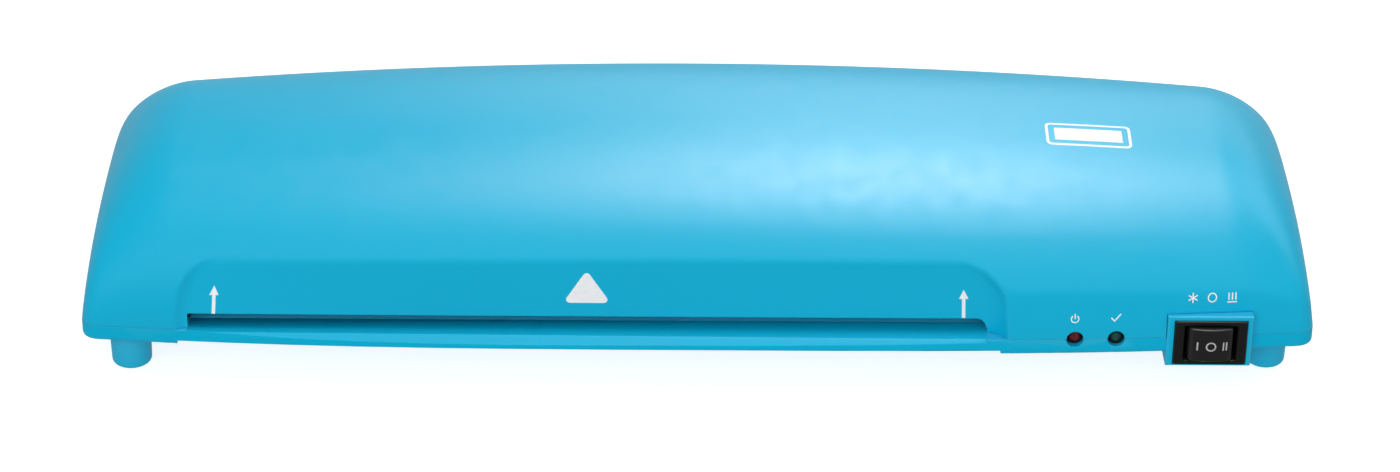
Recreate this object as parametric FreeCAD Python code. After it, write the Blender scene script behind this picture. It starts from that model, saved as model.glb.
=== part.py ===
import FreeCAD, Part
import math
import os

# Desktop A4 pouch laminator: a lofted cover on a shallow base, with a pair of geared silicone
# rollers, two heating shoes and a synchronous gear motor inside.
# Millimetres. +X runs to the right end (the switch), -Y faces the operator, +Z is up.
# The shapes are drawn about the crest line of the cover (Y = 0) and shifted by CREST_Y when they
# are written, so that the frame's origin is the middle of the footprint on the table top.

Vec = FreeCAD.Vector

# ---- driving dimensions: casing ----------------------------------------------------------------
WIDTH = 356.2
SEAM_Z = 17.5            # joint plane between cover and base
CREST_RISE = 47.5        # top of the cover above the seam, at mid width
CREST_FALL = 6.65        # how much lower the crest is near the ends
END_ROUND = 22.0         # length of the rounding from the crest into the end walls
END_DROP = 20.4          # height lost over that rounding
END_POWER = 1.915
END_DRAFT = math.radians(7.7)
FRONT_DEPTH = 60.0       # crest to front edge, at mid width
FRONT_BOW = 6.3
BOW_POWER = 3.16
REAR_DEPTH = 55.3        # crest to rear edge, at mid width
REAR_BOW = 9.9
FRONT_Y_POWER = 0.809    # superellipse exponents of the cross-section, front and rear
FRONT_Z_POWER = 1.004
REAR_POWER = 0.833
PLAN_CORNER = 4.0        # corner radius in plan
WALL = 2.2
ROCKER_FACE_Y = -60.2
CREST_Y = -(ROCKER_FACE_Y + REAR_DEPTH) / 2

RIM_BOTTOM = 12.4        # underside of the base rim
RIM_ROUND = 1.5          # under the front and rear edges
RIM_END_ROUND = 4.2      # under the two ends
BELLY_X = 165.0          # half length of the deeper tray under the mechanism
BELLY_Y = 34.0
BELLY_BOTTOM = 5.0
BELLY_CORNER = 8.0
FLOOR_Z = BELLY_BOTTOM + WALL
SHELF_Z = RIM_BOTTOM + WALL
POST_R = 3.2             # screw posts of the cover, which stand on the base's bosses
POST_Z = 18.0
SCREW_R = 1.5            # shank of the casing, plate and motor screws

FOOT_R = 5.75
FRONT_FEET = ((-165.2, -44.3), (166.5, -40.3))   # left and right; the right one stands clear of the switch
REAR_FEET = ((-165.2, 38.0), (166.5, 38.0))

# ---- driving dimensions: feed mouth ---------------------------------------------------------------
SLOT_LEFT = -147.0
SLOT_RIGHT = 83.0
TABLE_Z = 17.3           # top of the feed table
MOUTH_TOP = 21.7         # lower edge of the cover above the mouth
MOUTH_CORNER = 3.0       # rounding of that edge into the right end of the mouth
TABLE_BACK = -49.0
LIP_BOTTOM = 13.9
LIP_CREASE_Y = (-56.9, -58.6)   # straight edge, left to right, where the table turns down to the bowed lip
LIP_FALL = 0.9           # slope of the lip in front of it
LIP_X = (-150.2, 87.2)   # ends of the lip, whose underside is higher than the rim's
RECESS_FACE_Y = -54.5    # the recessed face at the mouth, where it is straight
RECESS_DEPTH = 5.7       # its set-back behind the cover's front edge higher up, where it is bowed
RECESS_TWIST_Z = (20.0, 38.0)   # heights over which the face changes from straight to bowed
RECESS_NEAR_Y = -46.0    # the recess's outline is given in two upright planes
RECESS_FAR_Y = -60.3
RECESS_TOP = (39.7, 44.4)       # its upper edge, near and far
RECESS_CORNER = (11.7, 16.4)    # its corner radius, near and far
RECESS_INSET = (3.2, 4.0)       # how far its near outline stays inside the mouth, left and right
FLANK_LEFT = 6.6         # how far its far outline stands outside the mouth
FLANK_RIGHT = 7.0
EXIT_Z = (25.7, 31.9)

# ---- driving dimensions: switch and lamps ---------------------------------------------------------
SWITCH_X = 147.5
SWITCH_Z = 16.3
BEZEL = (21.0, 14.4)
CUTOUT = (18.8, 12.8)
ROCKER_HALF = 6.2
ROCKER_HEIGHT = 10.6
ROCKER_OPENING = (15.2, 11.4)
ROCKER_PIVOT_Y = -53.0
PIVOT_R = 0.8
PIVOT_HALF = 6.15        # half length over both pivot pins
HOUSING_FRONT = -58.0
HOUSING_BACK = -37.0
HOUSING_X = (134.9, 159.6)
HOUSING_Z = (8.6, 24.9)
LAMP_X = (108.4, 120.3)
LAMP_HOLE_R = 2.5
LAMP_R = 2.35

# ---- driving dimensions: mechanism -----------------------------------------------------------------
PLATE_LEFT = -154.0      # inner faces of the two side plates
PLATE_RIGHT = 90.0
PLATE = 1.2
PLATE_FRONT = -36.5
PLATE_BACK = 30.0
PLATE_TOP = 49.0
NIP_Y = 10.0             # roller axes
ROLLER_R = 8.0
LOWER_Z = 17.0
ROLLER_GAP = 0.3
UPPER_Z = LOWER_Z + 2 * ROLLER_R + ROLLER_GAP
NIP_Z = LOWER_Z + ROLLER_R + ROLLER_GAP / 2
PATH_TILT = math.degrees(math.atan2(NIP_Z - 19.4, NIP_Y + 54.0))
SLEEVE = (-149.0, 85.0)
CORE_R = 4.0
JOURNAL_R = 3.0
RUNNING = 0.05           # radial clearance of a running journal
BUSH_R = 5.0
BUSH_FLANGE_R = 6.5
BLOCK_Y = 5.0            # half width of the sliding blocks
BLOCK_FLANGE_Y = 7.0
SLIDE_GAP = 0.3
TAB_Z = 47.0             # underside of the spring seats
SPRING_R = 2.4
SPRING_WIRE = 0.4
SPRING_TURNS = 4.5

ROLLER_TEETH = 16
PINION_TEETH = 14
MODULE = (UPPER_Z - LOWER_Z) / ROLLER_TEETH
BACKLASH = 0.16
GEAR_X = (94.0, 101.0)
PINION_ANGLE = math.radians(170.0)
PINION_REACH = MODULE * (ROLLER_TEETH + PINION_TEETH) / 2
PINION_Y = NIP_Y + PINION_REACH * math.cos(PINION_ANGLE)
PINION_Z = LOWER_Z + PINION_REACH * math.sin(PINION_ANGLE)
SHAFT_END = 102.4

BRACKET_X = 104.5
MOTOR_R = 25.0
MOTOR_Z = FLOOR_Z + MOTOR_R + 0.8
MOTOR_LENGTH = 18.5
MOTOR_SCREW_R = 20.0
MOTOR_TAG_X = BRACKET_X + PLATE + MOTOR_LENGTH + 2.0   # face of the motor's terminal block
MOTOR_TAG_Y = -15.0
MOTOR_TAG_Z = 46.0

SHOE_THICK = 3.0
SHOE_GAP = 0.7           # pouch path to each shoe
SHOE_SPAN = (-44.0, -12.0)   # along the path, from the nip
HOLDER_Y = (-33.0, -4.0)
HOLDER_Z = (14.8, 35.0)
HOLDER_SCREW_R = 1.4
HOLDER_SCREW_Y = -24.0
SENSOR_Y = -36.0         # thermostat and fuse, along the path from the nip
THERMOSTAT_X = -60.0
FUSE_R = 2.0
FUSE_X = (34.0, 45.0)
GUIDE_X = (-147.0, 83.5)

COVER_SCREWS = [(-152.0, -41.0), (131.5, -39.0), (-152.0, 40.0), (110.0, 40.0)]
PLATE_SCREWS = [(-158.3, -23.0), (-158.3, 23.0), (94.3, -23.0), (94.3, 25.5)]
BRACKET_SCREWS = [(109.6, -26.0), (109.6, 17.0)]

GLAND_X = 140.0
GLAND_Z = 26.3
GLAND_FACE = 50.2
GLAND_BORE = 3.5
GLAND_R = 5.5            # barrel through the cover
GLAND_BOSS_R = 8.5


# ---- small helpers ----------------------------------------------------------------------------------
def save(name, shape):
    moved = shape.copy()
    moved.translate(Vec(0, CREST_Y, 0))
    moved.exportStep("parts/" + name + ".step")


def box(x, y, z):
    """A block from (low, high) pairs."""
    return Part.makeBox(x[1] - x[0], y[1] - y[0], z[1] - z[0], Vec(x[0], y[0], z[0]))


def rod(radius, start, length, axis="x"):
    direction = {"x": Vec(1, 0, 0), "y": Vec(0, 1, 0), "z": Vec(0, 0, 1)}[axis]
    return Part.makeCylinder(radius, length, Vec(*start), direction)


def tube(outer, inner, start, length, axis="x"):
    return rod(outer, start, length, axis).cut(rod(inner, start, length, axis))


def join(shapes):
    whole = shapes[0]
    for shape in shapes[1:]:
        whole = whole.fuse(shape)
    return whole.removeSplitter()


def yz_prism(points, x):
    """Extrude a Y-Z outline between two X planes."""
    corners = [Vec(x[0], y, z) for y, z in points]
    face = Part.Face(Part.makePolygon(corners + corners[:1]))
    return face.extrude(Vec(x[1] - x[0], 0, 0))


def curve(points, parameters=None):
    spline = Part.BSplineCurve()
    if parameters:
        spline.interpolate(Points=points, Parameters=parameters)
    else:
        spline.interpolate(points)
    return spline.toShape()


def edges_at(shape, test):
    """Edges whose sampled points all pass the test."""
    found = []
    for edge in shape.Edges:
        if all(test(p) for p in edge.discretize(5)):
            found.append(edge)
    return found


# ---- cover form -------------------------------------------------------------------------------------
STATIONS = 22
SECTION_STEPS = 30


def shares():
    """Stations from end to end as shares of the half width, crowded towards the ends."""
    half = [math.sin(math.pi / 2 * i / STATIONS) for i in range(STATIONS + 1)]
    return [-s for s in reversed(half[1:])] + half


def half_depths(share, inset):
    """Front and rear half depth at a station."""
    s = abs(share)
    corner = PLAN_CORNER / (WIDTH / 2)
    k = max(0.0, (s - 1 + corner) / corner)
    rounding = PLAN_CORNER * (1 - math.sqrt(max(0.0, 1 - k * k)))
    front = FRONT_DEPTH - FRONT_BOW * s ** BOW_POWER - rounding - inset
    rear = REAR_DEPTH - REAR_BOW * s * s - rounding - inset
    return front, rear


def rise(share, inset):
    """Height of the crest above the seam at a station."""
    s = abs(share)
    length = END_ROUND / (WIDTH / 2)
    k = min(1.0, max(0.0, (s - 1 + length) / length))
    drop = 1 - (1 - k ** END_POWER) ** (1 / END_POWER)
    return CREST_RISE - CREST_FALL * s * s - END_DROP * drop - inset


def section(share, inset):
    """Cross-section points of the cover, from the front edge over the crest to the rear edge."""
    front, rear = half_depths(share, inset)
    height = rise(share, inset)
    half = WIDTH / 2 - inset
    points = []
    for i in range(SECTION_STEPS + 1):
        t = math.pi * i / SECTION_STEPS
        c = abs(math.cos(t))
        s = abs(math.sin(t)) if 0 < i < SECTION_STEPS else 0.0
        if i <= SECTION_STEPS / 2:
            y = -front * c ** FRONT_Y_POWER if 2 * i != SECTION_STEPS else 0.0
            z = height * s ** FRONT_Z_POWER
        else:
            y = rear * c ** REAR_POWER
            z = height * s ** REAR_POWER
        x = share * (half - math.tan(END_DRAFT) * z)
        points.append(Vec(x, y, SEAM_Z + z))
    return points


def cover_form(inset):
    """Solid bounded by the cover's surface (or its inset) and the seam plane."""
    middle = section(0.0, inset)
    parameters = [0.0]
    for a, b in zip(middle, middle[1:]):
        parameters.append(parameters[-1] + a.distanceToPoint(b))
    wires = []
    for share in shares():
        points = section(share, inset)
        closing = Part.makeLine(points[-1], points[0])
        wires.append(Part.Wire([curve(points, parameters), closing]))
    return Part.makeLoft(wires, True, False)


def plan_outline(inset, z):
    """Outline of the casing at the seam, as a face at height z."""
    front = []
    rear = []
    for share in shares():
        near, far = half_depths(share, inset)
        x = share * (WIDTH / 2 - inset)
        front.append(Vec(x, -near, z))
        rear.append(Vec(x, far, z))
    rear.reverse()
    loop = [curve(front), Part.makeLine(front[-1], rear[0]), curve(rear), Part.makeLine(rear[-1], front[0])]
    return Part.Face(Part.Wire(loop))


def corner_arc(centre, start, middle, radius):
    """Quarter circle in an upright X-Z plane, from the start angle by way of the middle one."""
    spots = []
    for angle in (start, middle, 2 * middle - start):
        turn = math.radians(angle)
        spots.append(centre + Vec(radius * math.cos(turn), 0, radius * math.sin(turn)))
    return Part.Arc(*spots).toShape()


def recess_outline(y, left, right, top, radius):
    """Upright outline of the feed recess with rounded upper corners."""
    low = SEAM_Z - 8
    edges = [
        Part.makeLine(Vec(left, y, low), Vec(left, y, top - radius)),
        corner_arc(Vec(left + radius, y, top - radius), 180, 135, radius),
        Part.makeLine(Vec(left + radius, y, top), Vec(right - radius, y, top)),
        corner_arc(Vec(right - radius, y, top - radius), 90, 45, radius),
        Part.makeLine(Vec(right, y, top - radius), Vec(right, y, low)),
        Part.makeLine(Vec(right, y, low), Vec(left, y, low)),
    ]
    return Part.Wire(edges)


def recess_plan(z, grow):
    """Plan of the space ahead of the recess's face: straight at the mouth, bowed at the top."""
    twist = (z - RECESS_TWIST_Z[0]) / (RECESS_TWIST_Z[1] - RECESS_TWIST_Z[0])
    face = []
    for share in shares():
        bowed = -(FRONT_DEPTH - RECESS_DEPTH - FRONT_BOW * abs(share) ** BOW_POWER)
        y = RECESS_FACE_Y + (bowed - RECESS_FACE_Y) * twist + grow
        face.append(Vec(share * WIDTH / 2, y, z))
    corners = [face[-1], Vec(WIDTH / 2, -90, z), Vec(-WIDTH / 2, -90, z), face[0]]
    return Part.Wire([curve(face)] + Part.makePolygon(corners).Edges)


def recess_tool(grow):
    """The space of the feed recess, from its rear face forwards."""
    left = (SLOT_LEFT + RECESS_INSET[0], SLOT_LEFT - FLANK_LEFT)
    right = (SLOT_RIGHT - RECESS_INSET[1], SLOT_RIGHT + FLANK_RIGHT)
    ends = []
    for i, y in enumerate((RECESS_NEAR_Y, RECESS_FAR_Y)):
        ends.append(recess_outline(y, left[i] - grow, right[i] + grow, RECESS_TOP[i] + grow, RECESS_CORNER[i] + grow))
    wedge = Part.makeLoft(ends, True, True)
    levels = (SEAM_Z - 0.5, RECESS_TOP[1] + 3)
    ahead = Part.makeLoft([recess_plan(z, grow) for z in levels], True, True)
    return wedge.common(ahead)


def lamp_holes():
    return join([rod(LAMP_HOLE_R, (x, -66, SEAM_Z), 14, "y") for x in LAMP_X])


# ---- casing -------------------------------------------------------------------------------------------
def top_cover():
    outer = cover_form(0.0)
    inner = cover_form(WALL).cut(recess_tool(WALL))
    shell = outer.cut(recess_tool(0.0)).cut(inner)
    posts = []
    for x, y in COVER_SCREWS:
        posts.append(rod(POST_R, (x, y, POST_Z), 50, "z").common(outer))
    boss = rod(GLAND_BOSS_R, (GLAND_X, GLAND_FACE - 5, GLAND_Z), 5, "y")
    below = box((GLAND_X - 9, GLAND_X + 9), (GLAND_FACE - 6, GLAND_FACE + 1), (0, SEAM_Z + 0.3))
    boss = boss.cut(below)
    shell = join([shell, boss] + posts)
    for x, y in COVER_SCREWS:
        shell = shell.cut(rod(SCREW_R, (x, y, POST_Z - 0.1), 10.1, "z"))
    mouth = box((SLOT_LEFT, SLOT_RIGHT), (-70, -45), (SEAM_Z - 1, MOUTH_TOP))
    corner = edges_at(mouth, lambda p: abs(p.x - SLOT_RIGHT) + abs(p.z - MOUTH_TOP) < 0.01)
    mouth = mouth.makeFillet(MOUTH_CORNER, corner)
    way_out = box((SLOT_LEFT - 3, SLOT_RIGHT + 3), (40, 60), EXIT_Z)
    gap = 0.25
    notch = box((HOUSING_X[0] - gap, HOUSING_X[1] + gap), (-70, -50), (SEAM_Z - 1, HOUSING_Z[1] + gap))
    bore = rod(GLAND_R, (GLAND_X, 40, GLAND_Z), 20, "y")
    for tool in (mouth, way_out, notch, bore, lamp_holes()):
        shell = shell.cut(tool)
    return shell


def switch_housing():
    """Block of the base that frames the rocker switch."""
    block = box(HOUSING_X, (HOUSING_FRONT, HOUSING_BACK), HOUSING_Z)
    top = edges_at(block, lambda p: abs(p.y - HOUSING_FRONT) + abs(p.z - HOUSING_Z[1]) < 0.01)
    sides = edges_at(block, lambda p: abs(p.y - HOUSING_FRONT) < 0.01 and min(
        abs(p.x - HOUSING_X[0]), abs(p.x - HOUSING_X[1])) < 0.01)
    return block.makeFillet(0.6, top + sides)


def centred(size, depth):
    """Block about the switch axis."""
    x = (SWITCH_X - size[0] / 2, SWITCH_X + size[0] / 2)
    z = (SWITCH_Z - size[1] / 2, SWITCH_Z + size[1] / 2)
    return box(x, depth, z)


def base_rim():
    """Solid of the base above the rim's underside, rounded under the edges and more so under the ends."""
    rim = plan_outline(0.0, RIM_BOTTOM).extrude(Vec(0, 0, SEAM_Z - RIM_BOTTOM))
    rim = rim.makeFillet(RIM_ROUND, edges_at(rim, lambda p: abs(p.z - RIM_BOTTOM) < 0.01))
    for side in (-1, 1):
        middle = side * (WIDTH / 2 - RIM_END_ROUND)
        outside = sorted((middle, middle + side * 10))
        corner = box(outside, (-70, 70), (RIM_BOTTOM - 5, RIM_BOTTOM + RIM_END_ROUND))
        corner = corner.cut(rod(RIM_END_ROUND, (middle, -80, RIM_BOTTOM + RIM_END_ROUND), 160, "y"))
        rim = rim.cut(corner)
    return rim


def lip_slope():
    """The space above the lip, which slopes down in front of the feed table."""
    ends = []
    for x, crease in zip((SLOT_LEFT, SLOT_RIGHT), LIP_CREASE_Y):
        low = TABLE_Z - LIP_FALL * (crease + 70)
        high = SEAM_Z + 1
        ends.append([Vec(x, crease, TABLE_Z), Vec(x, -70, low), Vec(x, -70, high), Vec(x, crease, high)])
    left, right = ends
    outlines = [left, right]
    for i in range(4):
        after = (i + 1) % 4
        outlines.append([left[i], left[after], right[after], right[i]])
    faces = [Part.Face(Part.makePolygon(outline + outline[:1])) for outline in outlines]
    return Part.Solid(Part.Shell(faces))


def upright_corners(shape, half_x, half_y):
    """The upright corner edges of a block centred on the origin."""
    return edges_at(shape, lambda p: abs(abs(p.x) - half_x) + abs(abs(p.y) - half_y) < 0.01)


def base_shell():
    rim = base_rim()
    belly = box((-BELLY_X, BELLY_X), (-BELLY_Y, BELLY_Y), (BELLY_BOTTOM, SHELF_Z))
    belly = belly.makeFillet(BELLY_CORNER, upright_corners(belly, BELLY_X, BELLY_Y))
    belly = belly.makeFillet(1.6, edges_at(belly, lambda p: abs(p.z - BELLY_BOTTOM) < 0.01))
    housing = switch_housing()
    shell = join([rim, belly, housing])
    hollow = plan_outline(WALL, SHELF_Z).extrude(Vec(0, 0, SEAM_Z - SHELF_Z))
    inner_x = BELLY_X - WALL
    inner_y = BELLY_Y - WALL
    tray = box((-inner_x, inner_x), (-inner_y, inner_y), (FLOOR_Z, SEAM_Z))
    tray = tray.makeFillet(BELLY_CORNER - WALL, upright_corners(tray, inner_x, inner_y))
    shell = shell.cut(hollow.cut(housing)).cut(tray)
    recess_x = (SLOT_LEFT - FLANK_LEFT, SLOT_RIGHT + FLANK_RIGHT)
    table = box(recess_x, (-61, TABLE_BACK), (SHELF_Z - 0.2, SEAM_Z))
    table = table.common(plan_outline(0.0, RIM_BOTTOM).extrude(Vec(0, 0, 6)))
    bosses = [rod(POST_R + 1, (x, y, RIM_BOTTOM), POST_Z - RIM_BOTTOM, "z") for x, y in COVER_SCREWS]
    posts = [box((x - 3.2, x + 3.2), (-47.9, -42), (SHELF_Z - 0.2, 27.5)) for x in board_screw_x()]
    shell = join([shell, table] + bosses + posts)
    cuts = [
        box((SLOT_LEFT, SLOT_RIGHT), (-70, TABLE_BACK + 1), (TABLE_Z, SEAM_Z + 1)),
        lip_slope(),
        box(LIP_X, (-70, -50), (RIM_BOTTOM - 1, LIP_BOTTOM)),
        lamp_holes(),
        centred((BEZEL[0] + 0.2, BEZEL[1] + 0.2), (HOUSING_FRONT - 1, HOUSING_FRONT + 1.0)),
        centred(CUTOUT, (HOUSING_FRONT - 1, HOUSING_BACK + 1)),
        box((HOUSING_X[0] + 1.7, HOUSING_X[1] - 1.7), (HOUSING_FRONT + 3, HOUSING_BACK + 1),
            (HOUSING_Z[0] + 1.3, HOUSING_Z[1] - 1.7)),
    ]
    for x, y in COVER_SCREWS:
        cuts.append(rod(3.0, (x, y, RIM_BOTTOM - 1), 3.6, "z"))
        cuts.append(rod(1.7, (x, y, RIM_BOTTOM), 8, "z"))
    for x, y in PLATE_SCREWS + BRACKET_SCREWS:
        cuts.append(rod(1.6, (x, y, BELLY_BOTTOM - 1), 4, "z"))
    for x in board_screw_x():
        cuts.append(rod(1.1, (x, -48, 24.0), 5, "y"))
    cuts += vent_slots()
    for tool in cuts:
        shell = shell.cut(tool)
    return shell


def vent_slots():
    """Rows of cooling slots through the tray's floor."""
    slots = []
    for row in (-14.0, 14.0):
        for i in range(9):
            x = -120.0 + i * 22.0
            slots.append(box((x, x + 14.0), (row - 1.25, row + 1.25), (BELLY_BOTTOM - 1, FLOOR_Z + 1)))
    return slots


def foot(x, y):
    body = Part.makeCone(FOOT_R, FOOT_R + 0.3, RIM_BOTTOM, Vec(x, y, 0), Vec(0, 0, 1))
    return body.makeFillet(1.4, edges_at(body, lambda p: abs(p.z) < 0.01))


def screw(head_r, head_h, shaft_r, shaft_len, base, axis, sign):
    """Pan-head screw: base is the seat under the head, sign the way the shaft points."""
    step = {"x": Vec(sign, 0, 0), "y": Vec(0, sign, 0), "z": Vec(0, 0, sign)}[axis]
    seat = Vec(*base)
    head = Part.makeCylinder(head_r, head_h, seat - step * head_h, step)
    shaft = Part.makeCylinder(shaft_r, shaft_len, seat, step)
    driver = Part.makeCylinder(head_r * 0.45, head_h * 0.5, seat - step * head_h, step)
    return head.fuse(shaft).cut(driver)


def group(shapes):
    return Part.makeCompound(shapes)


def cover_screws():
    seat = RIM_BOTTOM + 2.6
    return group([screw(2.8, 2.0, SCREW_R, 11.0, (x, y, seat), "z", 1) for x, y in COVER_SCREWS])


def plate_screws():
    places = PLATE_SCREWS + BRACKET_SCREWS
    return group([screw(2.8, 1.7, SCREW_R, 4.2, (x, y, BELLY_BOTTOM), "z", 1) for x, y in places])


def cord_gland():
    body = join([
        rod(GLAND_R, (GLAND_X, GLAND_FACE - 6, GLAND_Z), 6, "y"),
        rod(7.5, (GLAND_X, GLAND_FACE, GLAND_Z), 2, "y"),
        rod(6.8, (GLAND_X, GLAND_FACE - 7.6, GLAND_Z), 1.6, "y"),
    ])
    body = body.makeFillet(0.8, edges_at(body, lambda p: abs(p.y - GLAND_FACE - 2) < 0.01))
    return body.cut(rod(GLAND_BORE, (GLAND_X, GLAND_FACE - 10, GLAND_Z), 15, "y"))


# ---- switch and lamps ----------------------------------------------------------------------------------
def switch_body():
    plate = centred(BEZEL, (HOUSING_FRONT - 0.5, HOUSING_FRONT + 1.0))
    plate = plate.makeFillet(0.4, edges_at(plate, lambda p: abs(p.y - HOUSING_FRONT + 0.5) < 0.01))
    barrel = centred((CUTOUT[0] - 0.2, CUTOUT[1] - 0.2), (HOUSING_FRONT + 1.0, -45.5))
    body = join([plate, barrel])
    cavity = centred(ROCKER_OPENING, (HOUSING_FRONT - 2, -48.0))
    pivot = rod(PIVOT_R + RUNNING, (SWITCH_X, ROCKER_PIVOT_Y, SWITCH_Z - 8), 16, "z")
    return body.cut(cavity).cut(pivot)


def switch_terminals():
    blades = []
    for dx in (-4.5, 0.0, 4.5):
        x = SWITCH_X + dx
        for dz in (-3.2, 3.2):
            z = SWITCH_Z + dz
            blades.append(box((x - 0.4, x + 0.4), (-45.5, -38.5), (z - 2.2, z + 2.2)))
    return group(blades)


def rocker():
    """Three-position rocker, a shallow ridge across its pivot pins."""
    half = ROCKER_HALF
    face = ROCKER_FACE_Y
    right = [(0.0, face), (1.2, face + 0.12), (half - 0.5, face + 0.9), (half, face + 1.5), (half, -50.4)]
    left = [(-x, y) for x, y in reversed(right[1:])]
    outline = left + right
    low = SWITCH_Z - ROCKER_HEIGHT / 2
    corners = [Vec(SWITCH_X + x, y, low) for x, y in outline]
    body = Part.Face(Part.makePolygon(corners + corners[:1])).extrude(Vec(0, 0, ROCKER_HEIGHT))
    pins = rod(PIVOT_R, (SWITCH_X, ROCKER_PIVOT_Y, SWITCH_Z - PIVOT_HALF), 2 * PIVOT_HALF, "z")
    return join([body, pins])


def lamp(x):
    body = rod(LAMP_R, (x, -55.4, SEAM_Z), 4.4, "y")
    dome = Part.makeSphere(LAMP_R, Vec(x, -55.4, SEAM_Z))
    flange = rod(LAMP_R + 0.45, (x, -51.9, SEAM_Z), 1.0, "y")
    legs = [rod(0.3, (x + dx, -51.0, SEAM_Z), 1.5, "y") for dx in (-1.27, 1.27)]
    return join([body, dome, flange] + legs)


def board_screw_x():
    return (103.6, 125.4)


def indicator_board():
    panel = box((100.4, 128.6), (-49.5, -47.9), (15.0, 27.4))
    header = box((111.5, 117.5), (-47.9, -45.4), (16.5, 23.0))
    board = join([panel, header])
    for x in board_screw_x():
        board = board.cut(rod(1.3, (x, -50, 24.0), 3, "y"))
    return board


def board_screws():
    return group([screw(2.3, 1.4, 1.1, 5.6, (x, -49.5, 24.0), "y", 1) for x in board_screw_x()])


# ---- frame and rollers -----------------------------------------------------------------------------------
def side_plate(inner_x, outward):
    """Pressed side plate with foot tabs, bearing hole, block window and a lanced spring seat."""
    x = sorted((inner_x, inner_x + outward * PLATE))
    outline = [(-31.0, FLOOR_Z), (-31.0, SHELF_Z + 0.4), (PLATE_FRONT, SHELF_Z + 0.4), (PLATE_FRONT, 35.0),
               (-28.0, PLATE_TOP), (24.0, PLATE_TOP), (PLATE_BACK, 42.0), (PLATE_BACK, FLOOR_Z)]
    plate = yz_prism(outline, x)
    foot_x = sorted((inner_x + outward * PLATE, inner_x + outward * (PLATE + 5.8)))
    rear_tab = 21.0 if outward > 0 else 16.0
    pieces = [plate]
    for y in ((-30.0, -16.0), (rear_tab, PLATE_BACK)):
        pieces.append(box(foot_x, y, (FLOOR_Z, FLOOR_Z + PLATE)))
    middle = inner_x + outward * PLATE / 2
    window = box((x[0] - 1, x[1] + 1), (NIP_Y - BLOCK_Y - SLIDE_GAP, NIP_Y + BLOCK_Y + SLIDE_GAP),
                 (UPPER_Z - 6.3, TAB_Z))
    seat = box((middle - 3.6, middle + 3.6), (NIP_Y - 4.5, NIP_Y + 4.5), (TAB_Z, TAB_Z + PLATE))
    plate = join(pieces + [seat]).cut(window)
    holes = [rod(BUSH_R, (x[0] - 1, NIP_Y, LOWER_Z), PLATE + 2)]
    for z in holder_screw_z():
        holes.append(rod(HOLDER_SCREW_R, (x[0] - 1, HOLDER_SCREW_Y, z), PLATE + 2))
    for sx, sy in PLATE_SCREWS:
        holes.append(rod(SCREW_R, (sx, sy, 0), 12, "z"))
    for hole in holes:
        plate = plate.cut(hole)
    return plate


def lower_bush(inner_x, outward):
    """Flanged bush pressed into the side plate from inside."""
    flange_start = min(inner_x, inner_x - outward)
    sleeve_start = min(inner_x, inner_x + outward * 2.8)
    body = join([
        rod(BUSH_FLANGE_R, (flange_start, NIP_Y, LOWER_Z), 1.0),
        rod(BUSH_R, (sleeve_start, NIP_Y, LOWER_Z), 2.8),
    ])
    return body.cut(rod(JOURNAL_R + RUNNING, (inner_x - 5, NIP_Y, LOWER_Z), 10))


def bearing_block(inner_x, outward):
    """Block that slides up and down in the side plate's window and carries the upper roller."""
    inner = sorted((inner_x - outward * 2.3, inner_x - outward * SLIDE_GAP))
    web = sorted((inner_x - outward * SLIDE_GAP, inner_x + outward * (PLATE + SLIDE_GAP)))
    outer = sorted((inner_x + outward * (PLATE + SLIDE_GAP), inner_x + outward * (PLATE + 2.3)))
    top = UPPER_Z + 7.0
    body = join([
        box(inner, (NIP_Y - BLOCK_FLANGE_Y, NIP_Y + BLOCK_FLANGE_Y), (UPPER_Z - 7.0, top)),
        box(web, (NIP_Y - BLOCK_Y, NIP_Y + BLOCK_Y), (UPPER_Z - 6.0, top)),
        box(outer, (NIP_Y - BLOCK_FLANGE_Y, NIP_Y + BLOCK_FLANGE_Y), (UPPER_Z - 7.0, top)),
    ])
    return body.cut(rod(JOURNAL_R + RUNNING, (inner_x - 8, NIP_Y, UPPER_Z), 16))


def pressure_spring(inner_x, outward):
    """Helical compression spring between a bearing block and its seat."""
    x = inner_x + outward * PLATE / 2
    low = UPPER_Z + 7.0 + SPRING_WIRE + 0.05
    height = TAB_Z - SPRING_WIRE - 0.05 - low
    helix = Part.makeLongHelix(height / SPRING_TURNS, height, SPRING_R)
    profile = Part.Wire(Part.makeCircle(SPRING_WIRE, Vec(SPRING_R, 0, 0), Vec(0, 1, 0)))
    coil = Part.Wire(helix.Edges).makePipeShell([profile], True, True)
    coil.translate(Vec(x, NIP_Y, low))
    return coil


def roller_shaft(z, core):
    journal = rod(JOURNAL_R, (PLATE_LEFT - 3.4, NIP_Y, z), SHAFT_END - PLATE_LEFT + 3.4)
    return join([journal, rod(CORE_R, (core[0], NIP_Y, z), core[1] - core[0])])


def roller_sleeve(z):
    return tube(ROLLER_R, CORE_R, (SLEEVE[0], NIP_Y, z), SLEEVE[1] - SLEEVE[0])


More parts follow.
